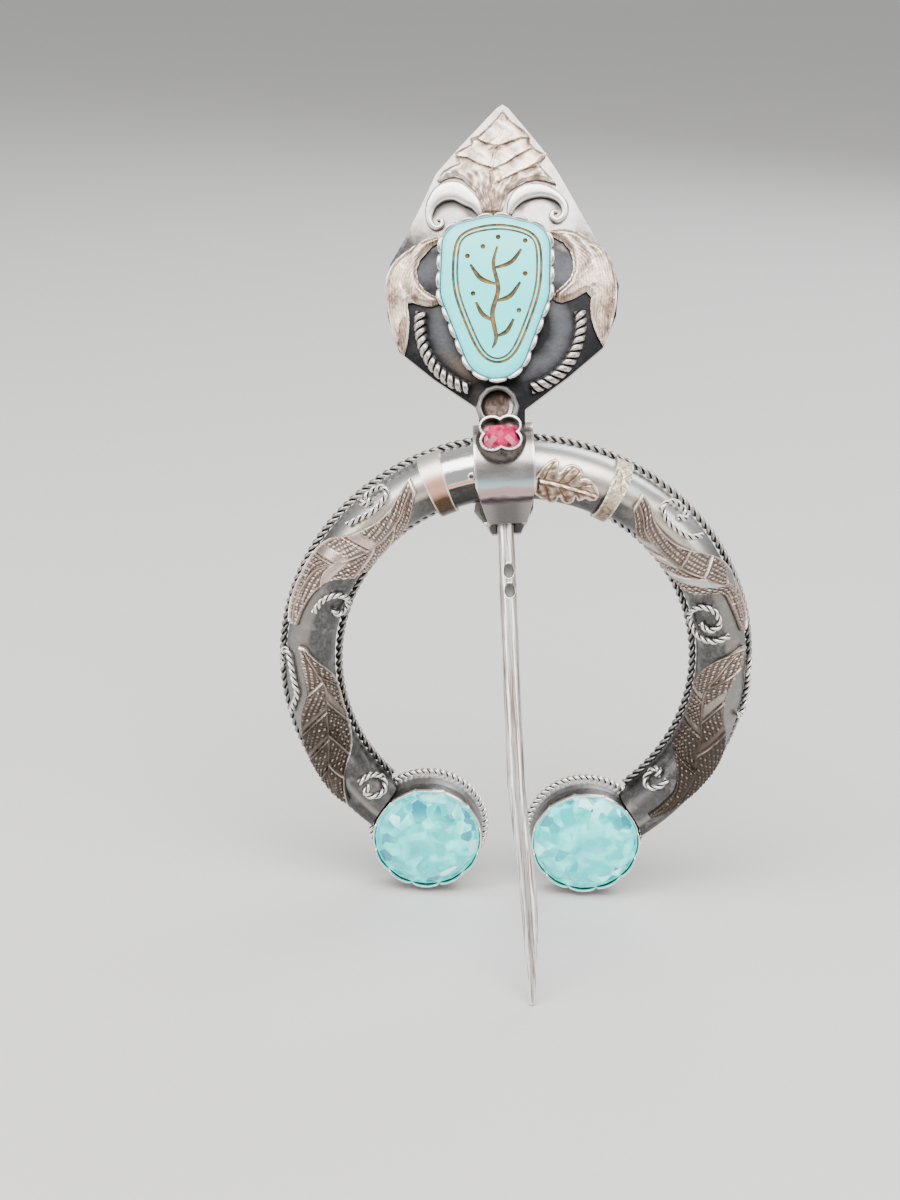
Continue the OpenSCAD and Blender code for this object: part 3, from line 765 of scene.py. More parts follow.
# %% Distances in the flat
def distance_to(xy, line, closed=False):
    line = np.array(line, float)
    ends = np.roll(line, -1, 0) if closed else line[1:]
    starts = line if closed else line[:-1]
    nearest = np.full(len(xy), 1e9)
    for a, b in zip(starts, ends):
        d = b - a
        u = np.clip(((xy - a) @ d) / max(d @ d, 1e-9), 0, 1)
        nearest = np.minimum(nearest, np.linalg.norm(xy - a - u[:, None] * d, axis=1))
    return nearest


# %% Saw out a sheet
def prism(name, outline, low, high):
    bpy.ops.mesh.primitive_circle_add(vertices=len(outline), radius=1, fill_type="NGON")
    blank = name_new(name)
    move_points(blank, np.c_[np.array(outline, float), np.full(len(outline), low)])
    lift = {"value": (0, 0, high - low)}
    in_edit_mode(blank, lambda: bpy.ops.mesh.extrude_region_move(TRANSFORM_OT_translate=lift),
                 close_up)
    return blank


def sawn_sheet(name, outline, cell):
    """A sheet of small cells, a millimetre thick, sawn along an outline."""
    outline = np.array(outline, float)
    low, high = outline.min(0) - 0.1, outline.max(0) + 0.1
    cells = [int(math.ceil(size / cell)) for size in high - low]
    bpy.ops.mesh.primitive_grid_add(x_subdivisions=cells[0], y_subdivisions=cells[1], size=2)
    sheet = name_new(name)
    flat = points_of(sheet)
    flat[:, :2] = (low + high) / 2 + flat[:, :2] * (high - low) / 2
    move_points(sheet, flat)
    modify(sheet, "SOLIDIFY", thickness=1, offset=-1)
    cut(sheet, prism(f"{name}_saw", outline, -3, 2), "INTERSECT", "MANIFOLD")
    return sheet


def chase(sheet, relief, back=0.0):
    """relief(xy) gives the height and the tone of each point of the face."""
    flat = points_of(sheet)
    height, tone = relief(flat[:, :2])
    face = flat[:, 2] > -0.5
    flat[:, 2] = np.where(face, height, back)
    move_points(sheet, flat)
    set_tone(sheet, np.where(face, tone, 0.1))
    return flat


# %% [markdown]
# ## The oak leaf
# It is gold over silver, with lobes, a mid vein and a vein into each lobe. It is chased flat
# and then bent over the tube, where it reaches from the strap to the right band. Its flat
# drawing is in millimetres, and bending turns them into degrees round and over the tube.

# %% Drawing of the oak leaf
oak_outline = [
    (-0.65, 0.55), (-0.15, 1.1), (0.35, 1.6), (0.95, 2.1), (1.5, 2.35), (1.95, 2.1), (2.05, 1.5),
    (2.15, 1.1), (2.45, 1.35), (2.75, 1.85), (3.3, 2.1), (3.85, 2.12), (4.5, 1.95), (4.9, 1.5),
    (4.8, 1.0), (5.3, 1.2), (5.95, 1.15), (6.7, 0.85), (7.3, 0.45), (7.65, -0.05), (7.4, -0.55),
    (6.8, -0.8), (6.1, -0.7), (5.9, -0.95), (5.4, -1.25), (5.05, -1.0), (4.9, -0.8),
    (4.9, -1.4), (4.5, -1.95), (3.95, -2.08), (3.4, -1.9), (2.95, -1.3), (2.75, -1.4),
    (2.7, -2.1), (2.2, -2.55), (1.6, -2.5), (1.25, -2.1), (1.0, -2.3), (0.5, -2.05),
    (0.1, -1.7), (-0.65, -1.3)]
oak_mid_vein = [(-0.6, 0.15), (2.5, 0.0), (4.8, -0.1), (7.3, -0.1)]
oak_side_veins = [
    [(0.3, 0.15), (0.8, 1.0), (1.4, 1.9)], [(2.0, 0.0), (2.7, 0.7), (3.5, 1.7)],
    [(2.9, 0.0), (3.7, 0.6), (4.4, 1.5)], [(4.4, -0.1), (5.2, 0.4), (6.2, 0.8)],
    [(0.6, 0.0), (1.1, -0.9), (1.9, -2.1)], [(2.3, -0.05), (3.1, -0.8), (4.1, -1.7)],
    [(4.2, -0.1), (4.9, -0.5), (5.5, -0.95)]]


def chased_oak(xy):
    edge = distance_to(xy, oak_outline, closed=True)
    from_middle = distance_to(xy, oak_mid_vein)
    ridge = bell(from_middle, 0.09)
    cuts = np.maximum.reduce([bell(distance_to(xy, vein), 0.07) for vein in oak_side_veins])
    cuts = np.maximum(cuts * step_up(from_middle, 0.1, 0.3), 0.5 * bell(from_middle - 0.22, 0.07))
    rim = bell(edge - 0.16, 0.13)
    folds = np.sin(xy[:, 0] * 4 + 2.2 * np.sin(xy[:, 1] * 2.6)) * np.sin(xy[:, 1] * 5 + xy[:, 0])
    swell = step_up(edge, 0, 0.8)
    height = 0.14 + swell * (0.18 + 0.05 * folds + 0.16 * ridge) + 0.12 * rim - 0.1 * cuts
    return height, 0.42 + 0.6 * ridge + 0.5 * rim + 0.18 * folds - 0.5 * cuts


# %% Oak leaf
oak_start, oak_middle, round_per_mm, over_per_mm = 3.2, 95, 2.18, 20.5
oak_leaf = sawn_sheet("oak_leaf_casting", oak_outline, 0.075)
flat = chase(oak_leaf, chased_oak)
bent = over(oak_start + flat[:, 0] * round_per_mm, oak_middle - flat[:, 1] * over_per_mm,
            gap + flat[:, 2], crown_w, flank_h + 0.05)
move_points(oak_leaf, bent)
in_edit_mode(oak_leaf, close_up)
smooth(oak_leaf, 60)

oak_gold = Finish("oak_gold", Metallic=1.0)
over_s = ring_angles(oak_gold)[1]
# lit: rubbed tops and noise, with painted shade on the lower side of the tube
lit = (oak_gold.tone().rise(0.1, 0.9) + (oak_gold.noise(0.7, 4.0) - 0.5) * 0.7
       - over_s.rise(84.0, 112.0) * 0.2).held()
oak_gold.feed(Base_Color=oak_gold.mix(lit, (0.17, 0.105, 0.07), (0.95, 0.76, 0.61)),
              Roughness=0.4 - lit * 0.14)
oak_gold.bump(oak_gold.noise(0.14, 3.0), 0.03, 0.5)
settle(oak_leaf, on_ring, "ring", "oak_leaf", oak_gold, replaces=["oak_leaf"])

# %% [markdown]
# ## The two bands
# The left band is smooth gold, painted near white on its upper side as a highlight, copper
# further round the tube, and brown on its lower side, partly stains and partly painted shade. The
# right one is crinkled foil, brown in its wrinkles and in painted shade on its lower side. Both
# solids have the right shape, so they only get a finish, and the crinkle is a bump of stretched
# cells. A highlight is painted along their edges, so each mask is as wide as its band.


# %% Smooth band
# the edges of a band, where a highlight is painted
def band_edges(around, middle, arc):
    """1 on the two edges of a band and 0 between them, all in degrees round the ring."""
    return (around.size() - middle).size().rise(arc / 2 - 0.55, arc / 2 - 0.3)


left_arc, right_arc = 5.4, 4.2
smooth_gold = Finish("smooth_gold", Metallic=1.0)
around, over_s = ring_angles(smooth_gold)
stain = smooth_gold.noise(1.4, 5.0, 0.6)
brown = (over_s.rise(78.0, 106.0) + (stain - 0.5) * 0.35).held()
edges = band_edges(around, left_band_at, left_arc) * (1.0 - brown * 0.6)
# near white on the upper side is a painted highlight; the brown is stain and painted shade
smooth_gold.feed(
    Base_Color=smooth_gold.layers(
        (1.0, 0.97, 0.9), (over_s.rise(42.0, 72.0), (0.93, 0.54, 0.38)),
        (brown, (0.075, 0.048, 0.03)), (edges, (1.0, 0.92, 0.8))),
    Roughness=(0.42 + (stain - 0.5) * 0.1 - brown * 0.15).held())
smooth_gold.bump(smooth_gold.noise(0.2, 3.0), 0.03, 0.35)
refinish("left_band", smooth_gold)

# %% Crinkled band
foil_gold = Finish("foil_gold", Metallic=1.0)
around, over_s = ring_angles(foil_gold)
crinkle = foil_gold.node("ShaderNodeTexVoronoi", {"feature": "DISTANCE_TO_EDGE"},
                         Vector=foil_gold.place, Scale=1050.0, Randomness=1.0)
wrinkle = foil_gold.noise(0.8, 5.0, 0.7, distortion=1.2)
# brown: tarnish in the wrinkles, and painted shade on the lower side of the tube
brown = (over_s.rise(70.0, 125.0) * 0.7 + (wrinkle - 0.46) * 1.5).held()
# a painted highlight along both edges, dimmer in the painted shade
edges = band_edges(around, right_band_at, right_arc) * (1.0 - brown * 0.5)
foil_gold.feed(
    Base_Color=foil_gold.layers((0.82, 0.69, 0.52), (brown, (0.13, 0.085, 0.055)),
                                (edges, (0.96, 0.86, 0.7))),
    Roughness=0.24 + wrinkle * 0.2)
foil_gold.bump(crinkle.rise(0.0, 0.25) + wrinkle * 1.2, 0.14, 0.9)
refinish("right_band", foil_gold)

# %% [markdown]
# ## The terminals
# Each terminal is a round box turned from sheet, with a cord soldered round its back edge and
# a thin scalloped bezel pressed over the stone. The box is a section spun about its axis. The
# bezel starts as a strip of grid that is rolled up, so that the seam closes where a jeweller
# would solder it. One terminal is made and copied, and the left one stands a little taller.


# %% Turning and rolling
def turned(name, section, steps=96):
    """Spins a section of (radius, height) points about the z axis into a closed solid."""
    bpy.ops.mesh.primitive_circle_add(vertices=len(section), radius=1)
    piece = name_new(name)
    section = np.array(section, float)
    move_points(piece, np.c_[section[:, 0], np.zeros(len(section)), section[:, 1]])
    in_edit_mode(piece, lambda: bpy.ops.mesh.spin(
        steps=steps, angle=2 * math.pi, center=(0, 0, 0), axis=(0, 0, 1)), close_up)
    return piece


def rolled(name, shape, around_cells, up_cells):
    """Rolls a strip up: shape(turn, up) gives the points, with both shares from 0 to 1."""
    bpy.ops.mesh.primitive_grid_add(x_subdivisions=around_cells, y_subdivisions=up_cells, size=2)
    piece = name_new(name)
    flat = (points_of(piece) + 1) / 2
    move_points(piece, shape(flat[:, 0], flat[:, 1]))
    in_edit_mode(piece, close_up)
    return piece


# %% Terminal box
box_section = [(0.0, 0.02), (rim_r - 0.3, 0.02), (rim_r - 0.1, 0.3), (rim_r - 0.12, 0.62),
               (rim_r - 0.22, 0.74), (drum_r + 0.08, 0.95), (drum_r - 0.02, 1.35),
               (drum_r - 0.02, 3.2), (drum_r - 0.12, 3.3), (drum_r - 0.3, 3.2),
               (drum_r - 0.3, 2.52), (0.0, 2.52)]
box = turned("terminal_box", box_section)
smooth(box, 30)
print("box has", len(box.data.polygons), "faces")

# %% Scalloped bezel
scallops, bezel_foot, bezel_notch = 12, 2.3, 0.5
bezel_section = [(0.0, 0.0), (0.0, 0.45), (0.0, 0.85), (-0.04, 1.0), (-0.15, 1.0), (-0.2, 0.9),
                 (-0.2, 0.5), (-0.2, 0.0)]


def arches(turn_share, count):
    """Half circles side by side: 0 where two of them meet and 1 in the middle of each."""
    return np.sqrt(np.clip(1 - (2 * (turn_share * count % 1) - 1) ** 2, 0, 1))


def bezel_top(turn_share):
    return drum_h - bezel_notch * (1 - arches(turn_share, scallops))


def bezel_shape(turn_share, up_share):
    """A ring wall whose top runs in arches that meet in small notches."""
    inset, level = read_along(bezel_section, up_share)
    swell = 0.06 * arches(turn_share, scallops) * level
    r = drum_r + inset + swell - 0.1 * step_up(level, 0.5, 1)
    angle = turn_share * 2 * math.pi + math.pi / scallops
    z = bezel_foot + level * (bezel_top(turn_share) - bezel_foot)
    return np.stack([r * np.cos(angle), r * np.sin(angle), z], -1)


bezel = rolled("terminal_bezel", bezel_shape, scallops * 16, len(bezel_section) * 3)
wall = points_of(bezel)
turn_share = np.arctan2(wall[:, 1], wall[:, 0]) / (2 * math.pi) - 0.5 / scallops
set_tone(bezel, step_up(wall[:, 2] - bezel_top(turn_share), -0.42, -0.12))
smooth(bezel, 50)
print("bezel has", scallops, "scallops")

# %% Cord round the back edge
terminal_pitch = 1.36
rim_cord = twisted_cord("terminal_cord", round_line(rim_r, 0, 360, 241), wire_d, terminal_pitch)
print("cord round a terminal has", len(rim_cord.data.vertices), "points")

# %% [markdown]
# The wall is blackened silver with a cloudy grey tone, and a sheen is painted on the ledge by the
# cord as a highlight. The bezel's rubbed top edge is nearly white and its wall fades into the
# dark one.

# %% Finishes of the terminals
box_silver = Finish("box_silver", Metallic=1.0)
height = box_silver.along(on_ring, 2)
cloud = box_silver.noise(2.2, 5.0, 0.6)
ledge = height.near(0.8, 0.55)
# sheen: a painted highlight on the ledge by the cord, over the wall's cloudy tone
sheen = (ledge * 0.8 + (cloud - 0.45) * 0.9).held()
box_silver.feed(Base_Color=box_silver.mix(sheen, (0.19, 0.187, 0.19), (0.7, 0.71, 0.73)),
                Roughness=0.42 - sheen * 0.14)
box_silver.bump(box_silver.noise(0.3, 4.0), 0.03, 0.4)

bezel_silver = Finish("bezel_silver", Metallic=1.0)
rubbed = (bezel_silver.tone() + (bezel_silver.noise(0.5, 3.0) - 0.5) * 0.5).held()
bezel_silver.feed(Base_Color=bezel_silver.mix(rubbed, (0.09, 0.085, 0.082), (0.95, 0.9, 0.85)),
                  Roughness=0.4 - rubbed * 0.14)
bezel_silver.bump(bezel_silver.noise(0.15, 3.0), 0.02, 0.4)

# %% Left and right terminals
terminals = (("left", -terminal_x, left_rise), ("right", terminal_x, 0.0))
for side, centre_x, rise in terminals:
    for part, finish, slot in ((box, box_silver, "terminal"), (bezel, bezel_silver, "terminal"),
                               (rim_cord, scroll_silver, "twisted_wire")):
        piece = copy_of(part, part.name.replace("terminal", f"{side}_terminal"))
        raised = points_of(piece)
        raised[:, 2] += np.where(raised[:, 2] > 2, rise, 0)
        move_points(piece, raised)
        settle(piece, on_ring @ shift(centre_x, -terminal_drop, 0), "ring", slot, finish,
               replaces=[f"{side}_terminal"])
for part in (box, bezel, rim_cord):
    bpy.data.objects.remove(part)

# %% [markdown]
# ## Cut stones
# The terminal stones are glass of a light aqua, cut with a wide table and a ring of facets.
# Rings of points are wrapped in a convex hull, which makes the flat facets by itself. Seen
# through the table, the facets below break the color into pale and teal patches; the finish
# paints these reflections as patches of its own, with white glints and a pale edge at the girdle,
# under a hard gloss, and its color also glows as emission, a painted glow.


# %% Facets from rings
def cut_stone(name, rings):
    """rings are (points, radius, height, turn in degrees) from the girdle up."""
    circles = []
    for count, radius, z, degrees in rings:
        bpy.ops.mesh.primitive_circle_add(vertices=count, radius=radius, location=(0, 0, z),
                                          rotation=(0, 0, math.radians(degrees)))
        bpy.ops.object.transform_apply(location=True, rotation=True, scale=True)
        circles.append(name_new(f"{name}_ring"))
    stone = join(name, *circles)
    in_edit_mode(stone, bpy.ops.mesh.convex_hull)
    return stone


# %% Glass with patches
def glass_patches(name, place, patch_mm, colors, girdle_r, glow, coat=1.0):
    """Glossy glass with painted reflections: white glints, pale and deep patches, and a painted
    glow.
    """
    white, pale, body, deep = colors
    finish = Finish(name, Metallic=0.0, IOR=1.5, Coat_Weight=coat, Coat_Roughness=0.02,
                    Emission_Strength=glow)
    cloud = finish.noise(patch_mm * 1.6, 3.0, 0.5, distortion=0.6)
    cells = finish.node("ShaderNodeTexVoronoi", {"feature": "F1"}, output="Color",
                        Vector=finish.place, Scale=1 / (patch_mm * MM))
    cell, streak = (finish.node("ShaderNodeSeparateColor", output=channel, Color=cells)
                    for channel in (0, 1))
    out = finish.off_axis(place)
    ring = out.rise(girdle_r * 0.55, girdle_r * 0.8)
    light = ((cloud - 0.4) * 3.4 + (cell - 0.5) * (0.5 + ring * 0.7)).held()
    shade = (streak.rise(0.45, 1.0) * (0.42 + ring * 0.45) + ring * 0.08).held()
    # light and shade are painted reflections; the white cells are painted glints, the pale girdle
    # edge painted light
    color = finish.layers(
        body, (light, pale), (shade, deep),
        (cell.rise(0.82, 0.9) * (0.08 + ring * 0.42), white),
        (out.rise(girdle_r * 0.97, girdle_r) * 0.7, pale))
    # the color is also fed to emission: a painted glow
    finish.feed(Base_Color=color, Emission_Color=color, Roughness=0.04 + cloud * 0.05)
    return finish


# %% Terminal stones
aqua = ((0.6, 1.0, 1.0), (0.08, 0.96, 0.86), (0.003, 0.46, 0.47), (0.002, 0.15, 0.22))
round_cut = [(24, 5.4, 2.57, 0), (24, 5.84, 3.2, 0), (24, 5.84, 3.52, 0), (12, 5.0, 4.3, 7.5),
             (12, 3.9, 4.95, 22.5)]
for (side, centre_x, rise), degrees in zip(terminals, (0.0, 13.0)):
    place = on_ring @ shift(centre_x, -terminal_drop, rise) @ turn(degrees, "Z")
    stone = cut_stone(f"{side}_stone_cut", round_cut)
    glass = glass_patches(f"{side}_aqua_glass", place, 1.25, aqua, 5.7, 1.2)
    settle(stone, place, "ring", "blue_stone", glass, replaces=[f"{side}_stone"])

# %% [markdown]
# ## The strap
# A strip of silver is looped over the tube, and its ends meet below round the pin. The solid is
# right, but its edges are knife sharp, and on the real one they are worn round and catch the
# light. So a copy of it is merged, its flat faces are joined, and its edges get a bevel.


# %% A copy of a solid with worn edges
def worn_copy(node, name, edge_mm):
    worn = copy_of(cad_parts[node], name)
    worn.data.transform(Matrix.Scale(1 / MM, 4))
    worn.data.materials.clear()
    in_edit_mode(
        worn,
        bpy.ops.mesh.customdata_custom_splitnormals_clear,
        lambda: bpy.ops.mesh.remove_doubles(threshold=0.002),
        lambda: bpy.ops.mesh.dissolve_limited(angle_limit=math.radians(1.5)))
    if edge_mm:
        wear_edges(worn, edge_mm, 2, 30)
    smooth(worn, 28)
    return worn


strap = worn_copy("strap", "strap_worn", 0.13)
print("worn strap has", len(strap.data.polygons), "faces")

# %% [markdown]
# The strap's front shows bands of color: blue-grey below the cup, a painted reflection of the
# sky where the face tips up; then brown; then a black line and a dark foot that is paler at its
# sides, a painted dark reflection where the strap turns under. `up` and `out` are places in the
# clasp's own frame, and noise makes each band wavy. A highlight is painted along its edges.

# %% Finish of the strap
strap_silver = Finish("strap_silver", Metallic=1.0)
across, up, out = (strap_silver.along(on_clasp, axis) for axis in range(3))
smear = strap_silver.noise(1.3, 4.0, 0.6, stretch=(0.5, 1.0, 2.0))
wavy, front, off_middle = up + (smear - 0.5) * 0.8, out.rise(-1.0, 0.0), across.size()
foot = strap_silver.mix(off_middle.rise(0.6, 2.4), (0.12, 0.114, 0.11), (0.25, 0.236, 0.222))
taper = ((-4.0 - up) / 1.8).held() * 0.95
strap_silver.feed(
    Base_Color=strap_silver.layers(
        (0.46, 0.415, 0.385), (smear.rise(0.35, 0.65), (0.58, 0.545, 0.515)),
        # blue-grey below the cup: a painted reflection of the sky
        (wavy.near(-1.9, 0.9) * front * 0.8, (0.36, 0.5, 0.54)),
        (wavy.near(-3.0, 0.7) * front, (0.42, 0.29, 0.28)),
        # the dark foot and the black line: a painted dark reflection where the strap turns under
        (wavy.rise(-3.5, -4.1) * front, foot),
        (wavy.near(-3.65, 0.4) * front, (0.05, 0.04, 0.043)),
        # a painted highlight along both edges of the strap
        ((off_middle + taper).rise(2.86, 2.98), (0.82, 0.79, 0.76))),
    Roughness=(0.2 + smear * 0.14 + (1.0 - front) * 0.2).held())
strap_silver.bump(strap_silver.noise(0.4, 3.0), 0.01, 0.3)
settle(strap, Matrix.Identity(4), "clasp", "strap", strap_silver, replaces=["strap"])

# %% [markdown]
# ## The pin
# The pin is drawn wire, bright and finely streaked along its length, with two small oval
# punches near the top. The solid has the right bend, so a copy of it is punched: a flattened
# ball is taken away at each mark, and a thin burr is laid round it. The streaks are one noise,
# stretched along the pin, that gives both color and grain.

# %% Pin with its punch marks
pin_r, mark_x, mark_places, mark_r, mark_long = 0.9, -0.2, (-10.65, -12.72), 0.6, 1.4
pin = worn_copy("pin", "pin_punched", 0)
for mark_y in mark_places:
    on_mark = on_clasp @ shift(mark_x, mark_y, pin_r)
    bpy.ops.mesh.primitive_uv_sphere_add(segments=24, ring_count=12, radius=mark_r)
    punch = name_new("punch")
    move_points(punch, points_of(punch) * (1, mark_long, 0.5))
    punch.data.transform(on_mark)
    cut(pin, punch)
    bpy.ops.mesh.primitive_torus_add(major_segments=36, minor_segments=8,
                                     major_radius=mark_r, minor_radius=0.07)
    burr = name_new("pin_burr")
    bent = points_of(burr) * (1, mark_long, 1)
    bent[:, 2] += np.sqrt((pin_r - 0.01) ** 2 - bent[:, 0] ** 2) - pin_r
    move_points(burr, bent)
    burr.data.transform(on_mark)
    smooth(burr, 80)
    pin = join("pin_punched", pin, burr)
smooth(pin, 30)
print("pin has", len(mark_places), "punch marks")

# %% Finish of the pin
pin_silver = Finish("pin_silver", Metallic=1.0)
tarnish = pin_silver.noise(2.5, 3.0, 0.55)
x, up, out = (pin_silver.along(on_clasp, axis) for axis in range(3))
drawn_out = pin_silver.node("ShaderNodeCombineXYZ", X=x * 2.6, Y=up * 0.05, Z=out * 0.8)
streak = pin_silver.node("ShaderNodeTexNoise", Vector=drawn_out, Scale=3.6, Detail=3.0)
ovals = sum(((((x - mark_x) / 0.56) ** 2.0 + ((up - mark_y) / 0.8) ** 2.0).rise(1.0, 0.8)
             for mark_y in mark_places), 0.0)
marks = ovals * out.rise(0.1, 0.4)
pin_silver.feed(
    Base_Color=pin_silver.layers(
        (1.0, 0.97, 0.94), (streak.rise(0.48, 0.6), (0.38, 0.27, 0.215)),
        (tarnish.rise(0.5, 0.75) * 0.3, (0.3, 0.27, 0.25)), (marks, (0.15, 0.145, 0.14))),
    Roughness=(0.34 + (streak - 0.5) * 0.3 + marks * 0.2).held())
pin_silver.bump(streak, 0.03, 0.35)
settle(pin, Matrix.Identity(4), "clasp", "pin", pin_silver, replaces=["pin"])

# %% [markdown]
# ## The head's plate
# The head is built up on a leaf-shaped plate of sheet. Its outline is cut as one flat face,
# given its thickness by an extrude, and its edges are filed with a bevel. Where it meets the
# strap's loop it is filed hollow, and so are the empty setting and the stone cup further down.


# %% A round file
def file_round(piece, place, radius=loop_r + gap, depth=20, sides=96):
    """Files a hollow with a cylinder that lies along the z axis of a place."""
    bpy.ops.mesh.primitive_cylinder_add(vertices=sides, radius=radius, depth=depth)
    round_file = name_new("round_file")
    round_file.data.transform(place)
    cut(piece, round_file)


# %% Plate
head_top = 38.9
plate_outline = [
    (0, head_top), (0.6, head_top - 0.4), (4, 34.3), (5.9, 31.4), (8.2, 27.2), (9.9, 24.1),
    (11.5, 21.6), (12.2, 19.2), (11.9, 16), (10.5, 12.6), (6.9, 9.5), (2.4, 6.1), (2.4, 4),
    (-2.4, 4), (-2.4, 6.1), (-7.1, 9.3), (-10.8, 12.3), (-12, 16), (-12.3, 19.2), (-11.8, 21.6),
    (-10.4, 24.1), (-8.9, 27.2), (-7, 31.4), (-4.5, 34.3), (-0.6, head_top - 0.4)]
plate = prism("head_back_plate", plate_outline, -1, 0)
file_round(plate, on_head.inverted() @ on_clasp @ turn(90, "Y"))
wear_edges(plate, 0.14, 3, 50)
smooth(plate, 30)
print("plate has", len(plate.data.polygons), "faces")

# %% [markdown]
# The plate is pale satin above and blackened below, with a painted sheen between the collar and
# the ropes and a painted shadow under each curl. The change follows the place on the head,
# broken up by noise.

# %% Masks of the plate
plate_silver = Finish("plate_silver", Metallic=1.0)
across, up, out = (plate_silver.along(on_head, axis) for axis in range(3))
haze, grain = plate_silver.noise(2.4, 5.0, 0.62), plate_silver.noise(0.4, 4.0, 0.65)
front, left = out.rise(-0.3, -0.1), across.rise(-1.0, -3.0)
darker_below = (up + (haze - 0.5) * 6.0).rise(26.5, 22.5)
# sheen: a painted sheen between the collar and the ropes, and in a band across the plate
sheen = 0.0
for x, side in ((1.2, across.rise(0.5, 2.5)), (-1.6, left)):
    away = plate_silver.off_axis(on_head @ shift(x, 15, 0))
    sheen = sheen + away.near(4.9, 1.25) * side
sheen = sheen * up.rise(18.5, 16.5) + up.near(21.0, 2.2) * 0.7
# under_curls: a painted shadow on the plate under each curl
under_curls = 0.0
for x, y in ((-5.3, 25.9), (3.9, 26.6)):
    away = plate_silver.off_axis(on_head @ shift(x, y, 0))
    under_curls = under_curls + away.rise(1.4, 2.1) * away.rise(3.0, 2.6) * up.rise(y, y + 1.0)
print("plate masks use", len(plate_silver.tree.nodes), "nodes")

# %% Finish of the plate
satin_share = (grain.rise(0.3, 0.7) * 0.5 + haze.rise(0.35, 0.65) * 0.5).held()
pale = plate_silver.layers((0.4, 0.365, 0.342), (satin_share, (0.66, 0.63, 0.61)),
                           (under_curls.held() * front * 0.9, (0.05, 0.045, 0.042)))
# the tint of the painted sheen, browner low on the left
sheen_tint = plate_silver.mix(left * up.rise(13.0, 10.0), (0.105, 0.108, 0.118),
                              (0.2, 0.152, 0.122))
black = plate_silver.mix((sheen * 0.8 + (haze - 0.5) * 1.2).held(), (0.022, 0.022, 0.024),
                         sheen_tint)
plate_silver.feed(Base_Color=plate_silver.mix(darker_below * front, pale, black),
                  Roughness=(0.38 + (grain - 0.5) * 0.25).held())
plate_silver.bump(grain, 0.04, 0.5)
settle(plate, on_head, "clasp", "head_plate", plate_silver, replaces=["head_plate"])

# %% [markdown]
# ## Cast leaves of the head
# The leaf at the point has a mid vein and three pairs of side veins. The two at the sides sweep
# down from the plaque and end in a point, with a hook towards the plaque. They are sawn and
# chased like the oak leaf, and brushed lengthwise. Each lobe stands a little over the next one,
# as shingles do, so the relief rises on one side of a crease and drops on its other side.


# %% Shingles: the edge of one lobe stands over the next
def beside(xy, line):
    """Distance from a line, above 0 on its left and below 0 on its right."""
    line = np.array(line, float)
    nearest, signed = np.full(len(xy), 1e9), np.zeros(len(xy))
    for a, b in zip(line[:-1], line[1:]):
        d = b - a
        u = np.clip(((xy - a) @ d) / (d @ d), 0, 1)
        away = np.linalg.norm(xy - a - u[:, None] * d, axis=1)
        left = np.sign(d[0] * (xy[:, 1] - a[1]) - d[1] * (xy[:, 0] - a[0]))
        signed = np.where(away < nearest, left * away, signed)
        nearest = np.minimum(nearest, away)
    return signed


# the leaves' tones take these steps too, which paints a shadow just below each crease
def shingles(xy, creases, soft=0.7):
    """Up to 1 just above a crease, and down to -0.6 just below it."""
    total = np.zeros(len(xy))
    for crease in creases:
        away = beside(xy, crease)
        total += np.where(away > 0, np.exp(-away / soft), -0.6 * bell(away, 0.5))
    return total


# %% Leaf at the point
top_leaf_outline = [
    (0, 38.2), (-0.62, 37.4), (-1.7, 36.2), (-2.56, 35.4), (-3.41, 35.03), (-3.36, 34.47),
    (-4.3, 34.0), (-5.08, 33.5), (-4.91, 32.94), (-4.7, 32.4), (-5.55, 32.06), (-6.4, 31.5),
    (-6.9, 30.6), (-6.6, 30.4), (-5.98, 30.75), (-5.01, 31.0), (-4.26, 30.7), (-3.51, 30.05),
    (-2.75, 29.3), (-2.3, 28.3), (-2.1, 26.9), (-0.1, 26.9), (0.2, 28.0), (0.62, 29.2),
    (1.45, 29.85), (2.55, 30.4), (3.67, 30.6), (4.74, 30.4), (5.7, 30.05), (5.06, 30.9),
    (4.42, 31.6), (3.9, 32.4), (4.53, 32.97), (4.6, 33.35), (3.67, 33.86), (2.92, 34.53),
    (2.92, 35.31), (2.17, 36.09), (0.77, 37.2)]
top_vein = [(0.02, 37.4), (-0.19, 35.4), (-0.62, 34.3), (-0.94, 32.9), (-1.15, 31.9),
            (-1.2, 30.5), (-1.15, 27)]
top_creases = [
    [(-3.41, 35.0), (-2.55, 34.9), (-1.7, 34.5), (-0.8, 34.2)],
    [(-5.0, 33.1), (-3.6, 32.9), (-2.5, 32.25), (-1.3, 31.9)],
    [(-0.4, 34.2), (0.8, 34.66), (1.85, 34.98), (2.9, 35.0)],
    [(-0.7, 31.8), (0.24, 32.2), (1.5, 33.1), (2.6, 33.65)],
    [(3.4, 32.2), (3.78, 32.42), (4.64, 33.2)],
    [(-0.2, 30.4), (0.9, 30.96), (1.96, 31.5), (3.13, 31.9)]]


